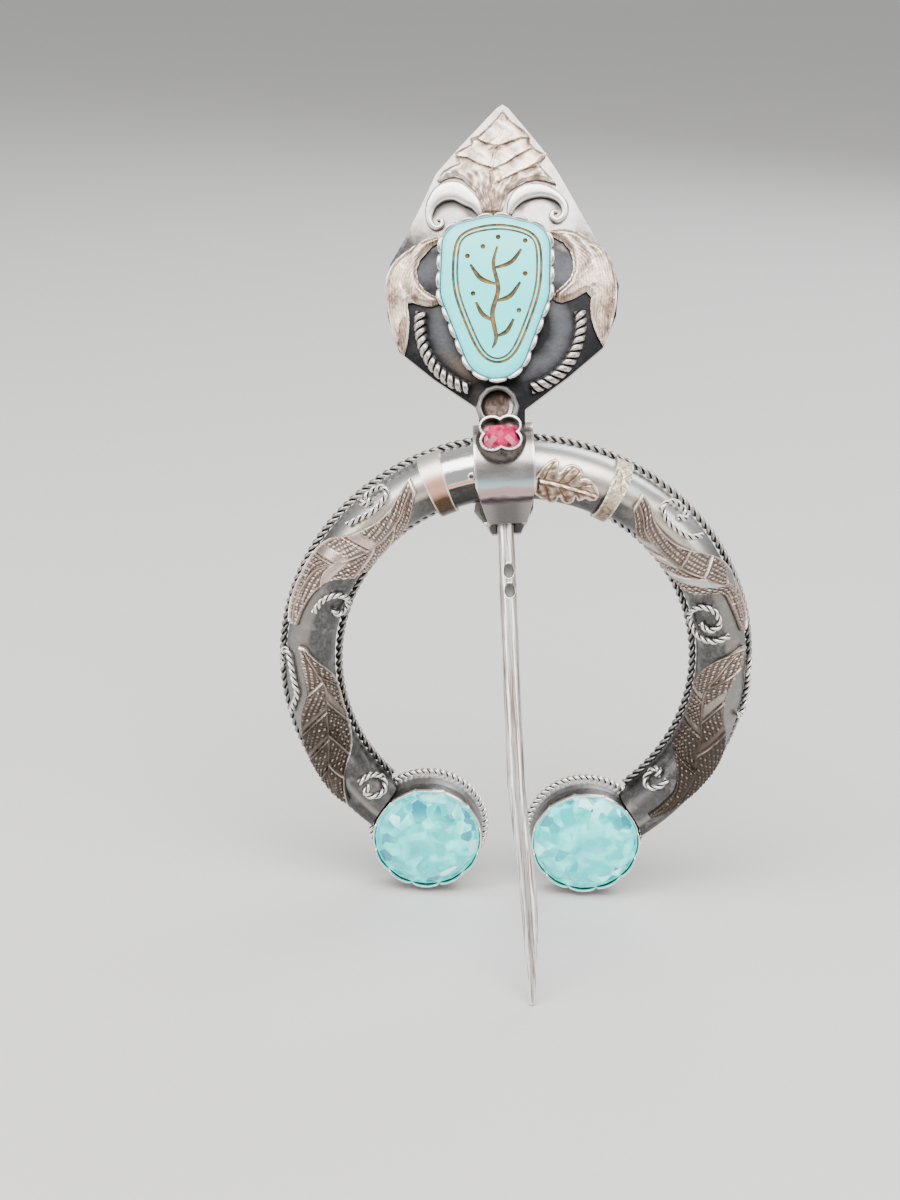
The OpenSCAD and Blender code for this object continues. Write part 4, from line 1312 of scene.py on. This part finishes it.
def chased_top_leaf(xy):
    edge = distance_to(xy, top_leaf_outline, closed=True)
    mid = distance_to(xy, top_vein)
    sheath = bell(mid, 0.5) * step_up(xy[:, 1], 33.8, 34.6)
    steps = shingles(xy, top_creases)
    fan = np.arctan2(xy[:, 0] + 1.1, xy[:, 1] - 25.6)
    fur = np.sin(fan * 44 + 2 * np.sin(xy[:, 1] * 2)) * step_up(32.0 - xy[:, 1], 0, 1.4)
    lumps = np.sin(xy[:, 0] * 2.7 + 1.1 * np.sin(xy[:, 1] * 1.9)) * np.sin(xy[:, 1] * 2.3 + 0.4)
    height = (0.3 + 0.22 * step_up(edge, 0.0, 0.4) + 0.2 * steps + 0.14 * sheath
              - 0.1 * bell(mid, 0.12) + 0.07 * lumps + 0.05 * fur)
    stem_dark = 0.35 * step_up(29.8 - xy[:, 1], 0, 1.6)
    # steps in the tone paint a shadow below each crease
    tone = 0.5 + 0.38 * steps + 0.2 * sheath + 0.3 * lumps + 0.24 * fur - stem_dark
    return np.clip(height, 0.12, 0.85), tone


sunk, casting_cell = -0.05, 0.09
top_leaf = sawn_sheet("top_leaf_casting", top_leaf_outline, casting_cell)
chase(top_leaf, chased_top_leaf, back=sunk)
smooth(top_leaf, 55)
print("top leaf has", len(top_leaf.data.polygons), "faces")

# %% Leaves down the sides
side_leaves = {
    "left": {
        "outline": [
            (-6.2, 24.6), (-7.0, 24.5), (-8.2, 24.15), (-9.4, 23.4), (-10.3, 22.75), (-11.1, 22.1),
            (-11.75, 21.2), (-12.15, 20.2), (-12.3, 19.0), (-12.2, 17.6), (-11.9, 16.1),
            (-11.55, 14.5), (-11.1, 13.0), (-10.6, 12.1), (-10.2, 11.8), (-9.95, 12.7),
            (-9.75, 14.2), (-9.7, 15.7), (-9.9, 16.9), (-9.9, 17.35), (-9.3, 17.4), (-8.7, 17.2),
            (-7.9, 17.0), (-7.25, 17.0), (-6.5, 17.3), (-6.3, 17.9), (-7.35, 18.2), (-8.1, 18.7),
            (-8.8, 19.7), (-9.0, 20.9), (-8.6, 22.0), (-7.6, 23.2), (-7.0, 23.65), (-6.2, 24.0)],
        "ridges": [[(-8.6, 23.7), (-9.2, 22.9), (-9.4, 21.5), (-9.4, 20.0), (-9.3, 18.3)],
                   [(-10.4, 21.0), (-10.6, 18.9), (-10.15, 17.2), (-9.95, 15.9)],
                   [(-7.0, 24.1), (-8.1, 23.6), (-9.0, 22.4), (-9.3, 20.6), (-8.6, 18.8),
                    (-7.0, 17.7)]],
        "creases": [[(-9.4, 17.7), (-10.3, 18.8)], [(-10.9, 13.0), (-10.7, 15.0)]],
        "spine": [(-8.4, 23.8), (-10.2, 21.6), (-11.2, 18.9), (-11.0, 16.2), (-10.4, 12.4)]},
    "right": {
        "outline": [
            (4.6, 24.8), (4.7, 25.2), (5.6, 25.35), (6.5, 25.3), (7.7, 25.0), (8.9, 24.4),
            (9.9, 23.7), (10.75, 22.9), (11.4, 21.7), (11.9, 20.0), (12.0, 18.5), (11.9, 17.0),
            (11.6, 15.6), (11.25, 14.4), (10.8, 13.2), (10.45, 12.75), (10.0, 13.6), (9.55, 14.7),
            (9.27, 15.8), (9.18, 16.8), (9.3, 17.9), (8.8, 18.5), (8.3, 18.25), (7.6, 17.8),
            (6.8, 17.5), (6.2, 17.3), (5.6, 17.5), (5.2, 17.9), (5.7, 18.6), (6.4, 19.2),
            (7.1, 19.95), (7.45, 20.8), (7.4, 21.9), (7.1, 22.9), (6.4, 23.8), (5.5, 24.3)],
        "ridges": [[(6.2, 24.9), (7.7, 24.5), (8.8, 23.1), (9.3, 22.2), (9.5, 20.7), (9.55, 19.4)],
                   [(9.3, 23.4), (10.4, 22.9), (11.2, 21.5), (11.6, 19.5)],
                   [(6.6, 24.4), (7.7, 22.8), (7.8, 21.0), (7.2, 19.4), (5.9, 18.2)]],
        "creases": [[(9.2, 21.35), (8.3, 20.3), (7.65, 19.7)],
                    [(11.6, 17.6), (11.1, 16.0), (11.15, 14.6)]],
        "spine": [(7.8, 24.2), (9.9, 22.5), (10.6, 20.0), (10.6, 16.6), (10.4, 13.4)]},
}


def chased_side_leaf(drawn):
    ridges = [through(ridge, 5) for ridge in drawn["ridges"]]
    spine = through(drawn["spine"], 5)

    def relief(xy):
        edge = distance_to(xy, drawn["outline"], closed=True)
        crest = np.maximum.reduce([bell(distance_to(xy, ridge), 0.24) for ridge in ridges])
        off_spine = beside(xy, spine)
        strokes = np.sin(off_spine * 21 + 1.5 * np.sin(xy[:, 1] * 1.3))
        steps = shingles(xy, drawn["creases"], 0.4)
        rim = bell(edge - 0.14, 0.1)
        height = (0.26 + 0.26 * step_up(edge, 0, 0.6) + 0.1 * bell(off_spine, 1.1) + 0.1 * crest
                  + 0.1 * steps + 0.015 * strokes)
        # steps in the tone paint a shadow below each crease
        tone = 0.42 + 0.3 * crest + 0.25 * rim + 0.35 * steps + 0.12 * strokes
        return np.clip(height, 0.12, 0.8), tone
    return relief


head_castings = [top_leaf]
for side, drawn in side_leaves.items():
    leaf = sawn_sheet(f"{side}_side_leaf_casting", drawn["outline"], casting_cell)
    chase(leaf, chased_side_leaf(drawn), back=sunk)
    smooth(leaf, 55)
    head_castings.append(leaf)
print(len(head_castings), "castings for the head")

# %% Brushed finish of the head's castings
brushed_silver = Finish("brushed_silver", Metallic=1.0)
strokes = brushed_silver.noise(0.22, 4.0, 0.6, stretch=(1.0, 1.0, 0.22))
haze = brushed_silver.noise(1.6, 4.0, 0.6)
height = brushed_silver.along(on_head, 1)
# bright: a painted highlight in the middle of the right side leaf
bright = brushed_silver.off_axis(on_head @ shift(8.8, 20.5, 0)).rise(3.2, 0.8) * 0.45
lit = (brushed_silver.tone() * 1.3 - 0.3 + (haze - 0.5) * 1.5 + (strokes - 0.5) * 1.2
       + bright).held()
body = brushed_silver.layers(
    (0.2, 0.138, 0.104), (haze.rise(0.35, 0.65), (0.37, 0.275, 0.215)),
    (height.rise(27.0, 31.0) * 0.25, (0.5, 0.405, 0.34)))
brushed_silver.feed(Base_Color=brushed_silver.mix(lit, body, (0.96, 0.79, 0.66)),
                    Roughness=(0.42 - lit * 0.12 + (strokes - 0.5) * 0.2).held())
brushed_silver.bump(strokes + haze * 0.6, 0.07, 0.6)
for leaf in head_castings:
    settle(leaf, on_head, "clasp", "head_plate", brushed_silver)

# %% [markdown]
# ## Rolled curls
# Two bars of silver rise beside the plaque and roll in on themselves. Each is a curve with a
# round section that swells and thins along it, turned into a mesh and flattened, as a bar is
# by a few strokes of a hammer.


# %% A bar that swells and thins along its line
def bar_along(name, line, height_of, base_z, closed=False):
    """A solid bar along (x, y, radius) points. height_of turns a radius into a height."""
    line = np.array(line, float)
    guide = guide_line(name, np.c_[line[:, :2], np.zeros(len(line))])
    spline = guide.data.splines[0]
    spline.use_cyclic_u = closed
    spline.points.foreach_set("radius", line[:, 2].astype(np.float32))
    guide.data.bevel_depth, guide.data.bevel_resolution = 1.0, 5
    guide.data.use_fill_caps = not closed
    pick(guide)
    bpy.ops.object.convert(target="MESH")
    bar = name_new(name)
    round_bar = points_of(bar)
    height = np.sign(round_bar[:, 2]) * height_of(np.abs(round_bar[:, 2]))
    set_tone(bar, 0.25 + 1.3 * height)
    round_bar[:, 2] = height + base_z
    move_points(bar, round_bar)
    in_edit_mode(bar, close_up)
    smooth(bar, 60)
    return bar


# %% Curls
def hammered(radius):
    return 0.5 * np.tanh(2.2 * radius)


curls = {
    "left_curl_bar": [
        (-2.35, 26.9, 0.3), (-2.75, 27.8, 0.62), (-3.5, 28.55, 0.9), (-4.9, 29.45, 1.1),
        (-6.35, 29.2, 0.98), (-7.35, 28.15, 0.65), (-7.7, 27.0, 0.43), (-7.6, 26.1, 0.36),
        (-7.05, 25.5, 0.32), (-6.4, 25.7, 0.28), (-6.35, 26.3, 0.24), (-6.85, 26.4, 0.16)],
    "right_curl_bar": [
        (0.75, 26.9, 0.3), (1.15, 28.1, 0.62), (2.15, 29.1, 0.84), (3.65, 29.45, 0.8),
        (5.05, 29.15, 0.62), (6.1, 28.45, 0.48), (6.57, 27.6, 0.42), (6.45, 26.75, 0.38),
        (5.8, 26.2, 0.35), (5.2, 26.6, 0.31), (5.35, 27.15, 0.25), (5.85, 27.1, 0.16)],
}
curl_silver = Finish("curl_silver", Metallic=1.0)
lit = (curl_silver.tone().rise(0.1, 0.75) + (curl_silver.noise(1.2, 4.0) - 0.5) * 0.35).held()
curl_silver.feed(Base_Color=curl_silver.mix(lit, (0.26, 0.2, 0.165), (1.0, 0.97, 0.93)),
                 Roughness=0.42 - lit * 0.08)
curl_silver.bump(curl_silver.noise(0.25, 3.0), 0.03, 0.4)
for name, drawn in curls.items():
    settle(bar_along(name, through(drawn, 6), hammered, 0.2), on_head, "clasp", "head_plate",
           curl_silver)

# %% [markdown]
# ## Coarse ropes
# Two arcs of a coarser cord lie in the dark hollow beside the foot of the plaque. They are made
# as the rim wires were, from thicker strands, and keep the same frame as the solid's arcs.

# %% Ropes
rope_d, rope_pitch, rope_bend, rope_z = 1.35, 1.62, 7, 0.3
rope_silver = cord_silver("rope_silver", (0.5, 0.47, 0.445), (0.05, 0.047, 0.045), groove=0.75)
bend = np.radians(np.linspace(-75, 11, 60))
for name, side in (("left_rope_cord", -1), ("right_rope_cord", 1)):
    line = np.stack([side * (1.4 + rope_bend * np.cos(bend)) - 0.2,
                     15 + rope_bend * np.sin(bend), np.full_like(bend, rope_z)], -1)
    rope = twisted_cord(name, line, rope_d, rope_pitch, sides=10, steps=14)
    settle(rope, on_head, "clasp", "head_plate", rope_silver)

# %% [markdown]
# ## The plaque and its collar
# The collar is a strip of thin silver rolled round the stone, its top edge pressed into small
# arches. The stone's outline is egg-shaped: the common envelope of six circles. Both follow
# that outline, sampled at equal steps of its length.

# %% The egg outline
egg_circles = [(-3.05, 23.0, 2.55), (2.95, 22.9, 2.65), (0, 21.1, 5.1), (-1.95, 18.6, 3.8),
               (1.75, 18.6, 3.8), (0, 12.4, 3.3)]
egg_x = -0.65


def egg(share, grow):
    """Points of the envelope at shares 0 to 1 of its length, moved out by grow."""
    facing = np.linspace(0, 2 * np.pi, 1441)
    normal = np.stack([np.cos(facing), np.sin(facing)], -1)
    circles = np.array(egg_circles)
    reach = circles[:, :2] @ normal.T + circles[:, 2:3]
    touched = circles[reach.argmax(0)]
    points = touched[:, :2] + normal * touched[:, 2:3]
    length = np.r_[0, np.linalg.norm(np.diff(points, axis=0), axis=1).cumsum()]
    length /= length[-1]
    at = [np.interp(share, length, values) for values in (*points.T, *normal.T)]
    slope = np.hypot(at[2], at[3])
    return np.stack([at[0] + grow * at[2] / slope + egg_x, at[1] + grow * at[3] / slope], -1)


print("plaque is", np.ptp(egg(np.arange(160) / 160, 0), axis=0).round(2), "mm wide and high")


# %% Scalloped collar
collar_scallops, collar_h, collar_notch = 25, 1.72, 0.45
collar_section = [(0.36, -0.04), (0.34, 0.4), (0.38, 0.8), (0.34, 0.97), (0.19, 1.0),
                  (0.05, 0.95), (0.03, 0.5), (0.02, -0.04)]


def collar_shape(turn_share, up_share):
    arch = arches(turn_share, collar_scallops)
    out, level = read_along(collar_section, up_share)
    pressed = (0.3 * arch - 0.13) * step_up(level, 0.1, 0.9) * step_up(out, 0.03, 0.2)
    xy = egg(turn_share, out + pressed + 0.01)
    return np.c_[xy, level * (collar_h - collar_notch * (1 - arch))]


collar = rolled("plaque_collar", collar_shape, collar_scallops * 16, 22)
set_tone(collar, step_up(points_of(collar)[:, 2], 0.75, 1.45))
smooth(collar, 50)
collar_silver = Finish("collar_silver", Metallic=1.0)
rubbed = (collar_silver.tone() + (collar_silver.noise(0.6, 3.0) - 0.5) * 0.5).held()
collar_silver.feed(Base_Color=collar_silver.mix(rubbed, (0.11, 0.085, 0.07), (0.74, 0.7, 0.66)),
                   Roughness=0.4 - rubbed * 0.12)
collar_silver.bump(collar_silver.noise(0.2, 3.0), 0.02, 0.4)
settle(collar, on_head, "clasp", "setting", collar_silver)

# %% [markdown]
# The plaque is a flat slice of turquoise with a rounded edge and two engraved border lines
# rubbed with gilt. It is extruded from its outline, and four insets of its top face, each
# flatter than the last, round the edge off. A plain sprig with buds stands in its field. Border
# and sprig are cut with gravers: thin bars that are laid along a line and taken away from the
# stone. A second material on each graver stays on the cut faces, and so the gilt fills exactly
# what was cut.

# %% Plaque
plaque = prism("plaque_stone", egg(np.arange(160) / 160, -0.03), 0.47, 1.6)


def round_off():
    bpy.ops.mesh.select_all(action="DESELECT")
    bpy.ops.object.mode_set(mode="OBJECT")
    for face in plaque.data.polygons:
        face.select = face.normal.z > 0.9
    bpy.ops.object.mode_set(mode="EDIT")
    for thickness, depth in ((0.1, 0.14), (0.22, 0.16), (0.3, 0.1), (0.2, 0.03)):
        bpy.ops.mesh.inset(thickness=thickness, depth=depth, use_even_offset=True)


in_edit_mode(plaque, round_off)
field_z = max(vertex.co.z for vertex in plaque.data.vertices)
for _ in range(2):
    plaque.data.materials.append(None)
print("plaque field at", round(field_z, 3))

# %% Lines of the sprig and the border
sprig = [
    [(-1.0, 12.1, 0.12), (-0.6, 13.3, 0.22), (-1.0, 15.8, 0.26), (-0.4, 18.4, 0.24),
     (-0.9, 21.0, 0.2), (-0.5, 22.9, 0.12)],
    [(-0.5, 13.4, 0.14), (0.5, 13.9, 0.25), (1.2, 15.2, 0.14)],
    [(-0.9, 15.0, 0.14), (-2.0, 15.7, 0.25), (-2.7, 17.0, 0.14)],
    [(-0.7, 17.1, 0.14), (0.8, 17.6, 0.27), (1.9, 19.1, 0.14)],
    [(-0.6, 18.9, 0.14), (-2.2, 19.5, 0.27), (-3.3, 21.0, 0.14)],
    [(-0.8, 20.6, 0.14), (0.9, 21.2, 0.25), (2.0, 22.6, 0.14)]]
buds = [(1.75, 16.1), (-3.0, 17.9), (2.4, 20.0), (-3.6, 21.9), (2.4, 23.5), (-2.0, 22.9),
        (-0.4, 23.9)]


def graver_depth(radius):
    return 0.9 * radius


border_points, line_z, bud_r = 200, field_z + 0.04, 0.28
gravers = []
for inward, half_width in ((1.02, 0.15), (1.46, 0.12)):
    border = egg(np.arange(border_points) / border_points, -inward) + (0.2, 0.2)
    for _ in range(120):
        border = border / 2 + (np.roll(border, 1, 0) + np.roll(border, -1, 0)) / 4
    border = np.c_[border, np.full(border_points, half_width)]
    gravers.append(bar_along("graver", border, graver_depth, line_z, closed=True))
for stroke in sprig:
    gravers.append(bar_along("graver", through(stroke, 6), graver_depth, line_z))
for x, y in buds:
    bpy.ops.mesh.primitive_uv_sphere_add(segments=16, ring_count=8, radius=bud_r,
                                         location=(x, y, field_z + 0.08))
    bpy.ops.object.transform_apply(location=True)
    gravers.append(name_new("graver"))
print(len(gravers), "gravers laid out")

# %% Cut them into the plaque
for graver in gravers:
    graver.data.materials.clear()
    for _ in range(2):
        graver.data.materials.append(None)
    for face in graver.data.polygons:
        face.material_index = 1
    cut(plaque, graver)
smooth(plaque, 25)
print("plaque engraved with", len(gravers), "cuts")

# %% Turquoise and gilt
# the plaque's color also glows as emission: a painted glow
turquoise = Finish("turquoise", Metallic=0.0, Specular_IOR_Level=0.3, Coat_Weight=0.2,
                   Coat_Roughness=0.1, Emission_Strength=0.48)
veil, clouds = turquoise.noise(5.0, 4.0, 0.55), turquoise.noise(1.1, 4.0, 0.6)
up, margin = turquoise.along(on_head, 1), turquoise.along(on_head, 2).rise(1.99, 1.8)
blue_green = turquoise.layers(
    (0.03, 0.8, 0.84), ((veil * 1.3 - 0.15).held(), (0.08, 0.92, 0.88)),
    # paler towards the top: a painted highlight over the stone's own clouds
    (((clouds - 0.35) * 0.6 + up.rise(17.0, 25.0) * 0.5).held(), (0.3, 1.0, 0.98)),
    (margin * 0.5, (0.2, 0.74, 0.88)))
turquoise.feed(Base_Color=blue_green, Emission_Color=blue_green,
               Roughness=(0.3 + (clouds - 0.5) * 0.12).held())
turquoise.bump(turquoise.noise(0.5, 4.0), 0.02, 0.3)

gilt = Finish("gilt", Metallic=0.6)
worn = gilt.noise(0.9, 5.0, 0.7)
gilt.feed(Base_Color=gilt.mix(worn.rise(0.35, 0.7), (0.04, 0.05, 0.035), (0.33, 0.18, 0.05)),
          Roughness=0.4 + worn * 0.2)
gilt.bump(gilt.noise(0.15, 3.0), 0.03, 0.5)
settle(plaque, on_head, "clasp", "plaque", turquoise, gilt, replaces=["plaque"])

# %% [markdown]
# ## The empty setting and the stone cup
# At the head's foot stands a round setting that has lost its stone: a turned ring with a worn
# rim and a stained floor, with a painted highlight in a pale crescent on the floor's lower right
# and a painted shadow under the wall on its upper left. On the strap's front sits a bulging cup
# whose rim is pressed into four lobes round a red stone. The cup is rolled from a strip whose
# section changes from round to lobed as it rises.

# %% Empty setting
in_clasp = shift(-0.4, 6.25, 2.66)
setting = turned("empty_setting_ring", [
    (0.0, 0.0), (2.26, 0.0), (2.3, 0.1), (2.28, 0.95), (2.15, 1.25), (1.95, 1.4), (1.8, 1.38),
    (1.62, 1.15), (1.58, 0.45), (1.45, 0.4), (0.0, 0.4)], steps=12)
setting.data.transform(in_clasp)
file_round(setting, turn(90, "Y"), sides=64)
file_round(setting, on_clasp.inverted() @ on_cup @ shift(0, 0, 1), radius=2.71, depth=4, sides=64)
wear_edges(setting, 0.05, 2, 40)
smooth(setting, 25)

# %% Finish of the empty setting
setting_silver = Finish("setting_silver", Metallic=1.0)
x, y, z = (setting_silver.along(on_clasp @ in_clasp, axis) for axis in range(3))
out = setting_silver.off_axis(on_clasp @ in_clasp)
stain = setting_silver.noise(0.9, 5.0, 0.65)
inside = out.rise(1.72, 1.58)
floor_stain_light_and_shade = setting_silver.layers(
    (0.065, 0.045, 0.038), (stain.rise(0.4, 0.65), (0.2, 0.145, 0.125)),
    # a painted shadow on the floor under the upper wall
    ((out.rise(1.0, 1.5) * (y - x).rise(-1.4, 0.6)).held(), (0.02, 0.014, 0.012)),
    # a painted highlight: the pale crescent on the floor's lower right
    ((out.rise(1.15, 1.3) * (x - y).rise(0.3, 1.5)).held(), (0.62, 0.57, 0.53)))
outside = setting_silver.mix(z.rise(0.5, 1.2), (0.1, 0.094, 0.09), (0.25, 0.24, 0.225))
setting_silver.feed(Base_Color=setting_silver.mix(inside, outside, floor_stain_light_and_shade),
                    Roughness=(0.32 + inside * 0.16 + (stain - 0.5) * 0.15).held())
setting_silver.bump(setting_silver.noise(0.25, 4.0), 0.04, 0.5)
settle(setting, on_clasp, "clasp", "setting", setting_silver, replaces=["empty_setting"])

# %% Stone cup
lobe_off = 0.88


def lobed(angle, radius):
    """Distance from the middle to the outline of four circles that overlap."""
    c, s = np.abs(np.cos(angle)), np.abs(np.sin(angle))
    along = lobe_off * (c + s)
    return along + np.sqrt(np.clip(along ** 2 - 2 * lobe_off ** 2 + radius ** 2, 0, None))


#            height, round radius, share of the lobed outline, lobe radius
cup_rows = [(-0.7, 0.9, 0, 1.1), (-0.6, 1.7, 0, 1.1), (-0.2, 2.25, 0, 1.1), (0.3, 2.55, 0, 1.1),
            (0.7, 2.62, 0, 1.1), (1.1, 2.5, 0.15, 1.2), (1.45, 2.25, 0.7, 1.22),
            (1.75, 2, 1, 1.27), (1.93, 2, 1, 1.33), (2.05, 2, 1, 1.29), (2.05, 2, 1, 1.12),
            (1.95, 2, 1, 1.05), (1.6, 2, 1, 1.1), (1.22, 2, 1, 1.12)]


def cup_shape(turn_share, up_share):
    angle = turn_share * 2 * np.pi
    z, round_r, share, lobe = read_along(cup_rows, up_share)
    r = round_r + share * (lobed(angle, lobe) - round_r)
    return np.stack([r * np.cos(angle), r * np.sin(angle), z], -1)


cup = rolled("stone_cup_rolled", cup_shape, 144, 40)
x, y, z = points_of(cup).T
set_tone(cup, step_up(z, 1.72, 1.95) * step_up(np.hypot(x, y), 0.9, 1.2))
file_round(cup, on_cup.inverted() @ on_clasp @ turn(90, "Y"))
smooth(cup, 45)
print("cup has", len(cup.data.polygons), "faces")

# %% Finish of the cup
cup_silver = Finish("cup_silver", Metallic=1.0)
tone = cup_silver.tone()
grime = cup_silver.noise(0.8, 5.0, 0.65)
height = cup_silver.along(on_cup, 2)
belly = cup_silver.mix((height.rise(0.2, 1.3) * 0.3 + (grime - 0.5) * 1.3).held(),
                       (0.026, 0.021, 0.02), (0.33, 0.28, 0.262))
cup_silver.feed(Base_Color=cup_silver.mix(tone.rise(0.3, 0.8), belly, (0.98, 0.95, 0.92)),
                Roughness=(0.36 - tone * 0.2 + (grime - 0.5) * 0.15).held())
cup_silver.bump(cup_silver.noise(0.2, 3.0), 0.03, 0.5)
settle(cup, on_cup, "clasp", "stone_cup", cup_silver, replaces=["stone_cup"])

# %% [markdown]
# The red stone is cut square with rounded corners. It sits low in the cup, so the two upper
# lobes stand empty over it. It is the same kind of hull of rings as the aqua stones, with each
# ring squared up and its upper side cut straight.

# %% Red stone
half_side, half_table = 1.75, 1.4
square_cut = [(16, 2.2, 1.27, 11.25), (16, 2.28, 1.36, 11.25), (16, 2.28, 1.5, 11.25),
              (16, 1.92, 1.82, 11.25), (8, 0.85, 2.12, 22.5)]
red = cut_stone("small_stone_cut", square_cut)
squared = points_of(red)
reach = np.maximum(np.abs(squared[:, :2]).max(1), 1e-6)
limit = np.where(squared[:, 2] < 1.6, half_side, half_table)
squared[:, :2] *= np.minimum(1, limit / reach)[:, None]
squared[:, 0] *= 1 - 0.07 * step_up(squared[:, 1], 0, 1)
squared[:, 1] = np.minimum(squared[:, 1], 1.0 + 0.05 * np.abs(squared[:, 0]))
move_points(red, squared)
in_edit_mode(red, bpy.ops.mesh.convex_hull)
reds = ((1.0, 0.5, 0.62), (0.78, 0.02, 0.16), (0.42, 0.0, 0.06), (0.06, 0.0, 0.008))
red_glass = glass_patches("red_glass", on_cup, 0.75, reds, 1.9, 0.2, coat=0.2)
settle(red, on_cup, "clasp", "red_stone", red_glass, replaces=["small_stone"])

# %% [markdown]
# ## Floor and light
# Silver shows what stands round it. A wide soft light above and in front gives the tube its
# white upper face, weaker ones at both sides draw a bright line along each edge, and the floor
# is plain and pale. The world is an even grey, so that no reflection goes black.

# %% Floor
bpy.ops.object.select_all(action="DESELECT")
bpy.ops.mesh.primitive_circle_add(vertices=64, radius=4.0, fill_type="NGON", location=(0, 0, 0))
floor = name_new("studio_floor")
paper = Finish("studio_paper", Roughness=0.7)
paper.feed(Base_Color=paper.mix(paper.noise(40.0, 2.0) * 0.3, (0.72, 0.71, 0.7),
                                (0.69, 0.68, 0.67)))
floor.data.materials.append(paper.material)


# %% Lights
def soft_light(name, place, aim, width, depth, watts, color=(1, 1, 1)):
    light = bpy.data.lights.new(name, "AREA")
    light.shape, light.size, light.size_y = "RECTANGLE", width, depth
    light.energy, light.color = watts, color
    lamp = bpy.data.objects.new(name, light)
    bpy.context.scene.collection.objects.link(lamp)
    lamp.location = place
    lamp.rotation_euler = (Vector(aim) - Vector(place)).to_track_quat("-Z", "Y").to_euler()


middle = (0, 0, 0.04)
soft_light("key_light", (-0.04, -0.22, 0.5), middle, 0.75, 0.36, 6.0, (1.0, 0.985, 0.96))
soft_light("left_light", (-0.5, -0.25, 0.25), middle, 0.3, 0.3, 1.3)
soft_light("right_light", (0.5, -0.3, 0.25), middle, 0.3, 0.3, 1.0)
soft_light("back_light", (0.25, 0.45, 0.4), middle, 0.4, 0.3, 2.0, (0.95, 0.98, 1.0))

# %% An even grey all round
world = bpy.data.worlds.new("studio_world")
world.use_nodes = True
background = world.node_tree.nodes["Background"]
background.inputs["Color"].default_value = (0.6, 0.6, 0.6, 1)
background.inputs["Strength"].default_value = 0.9
bpy.context.scene.world = world
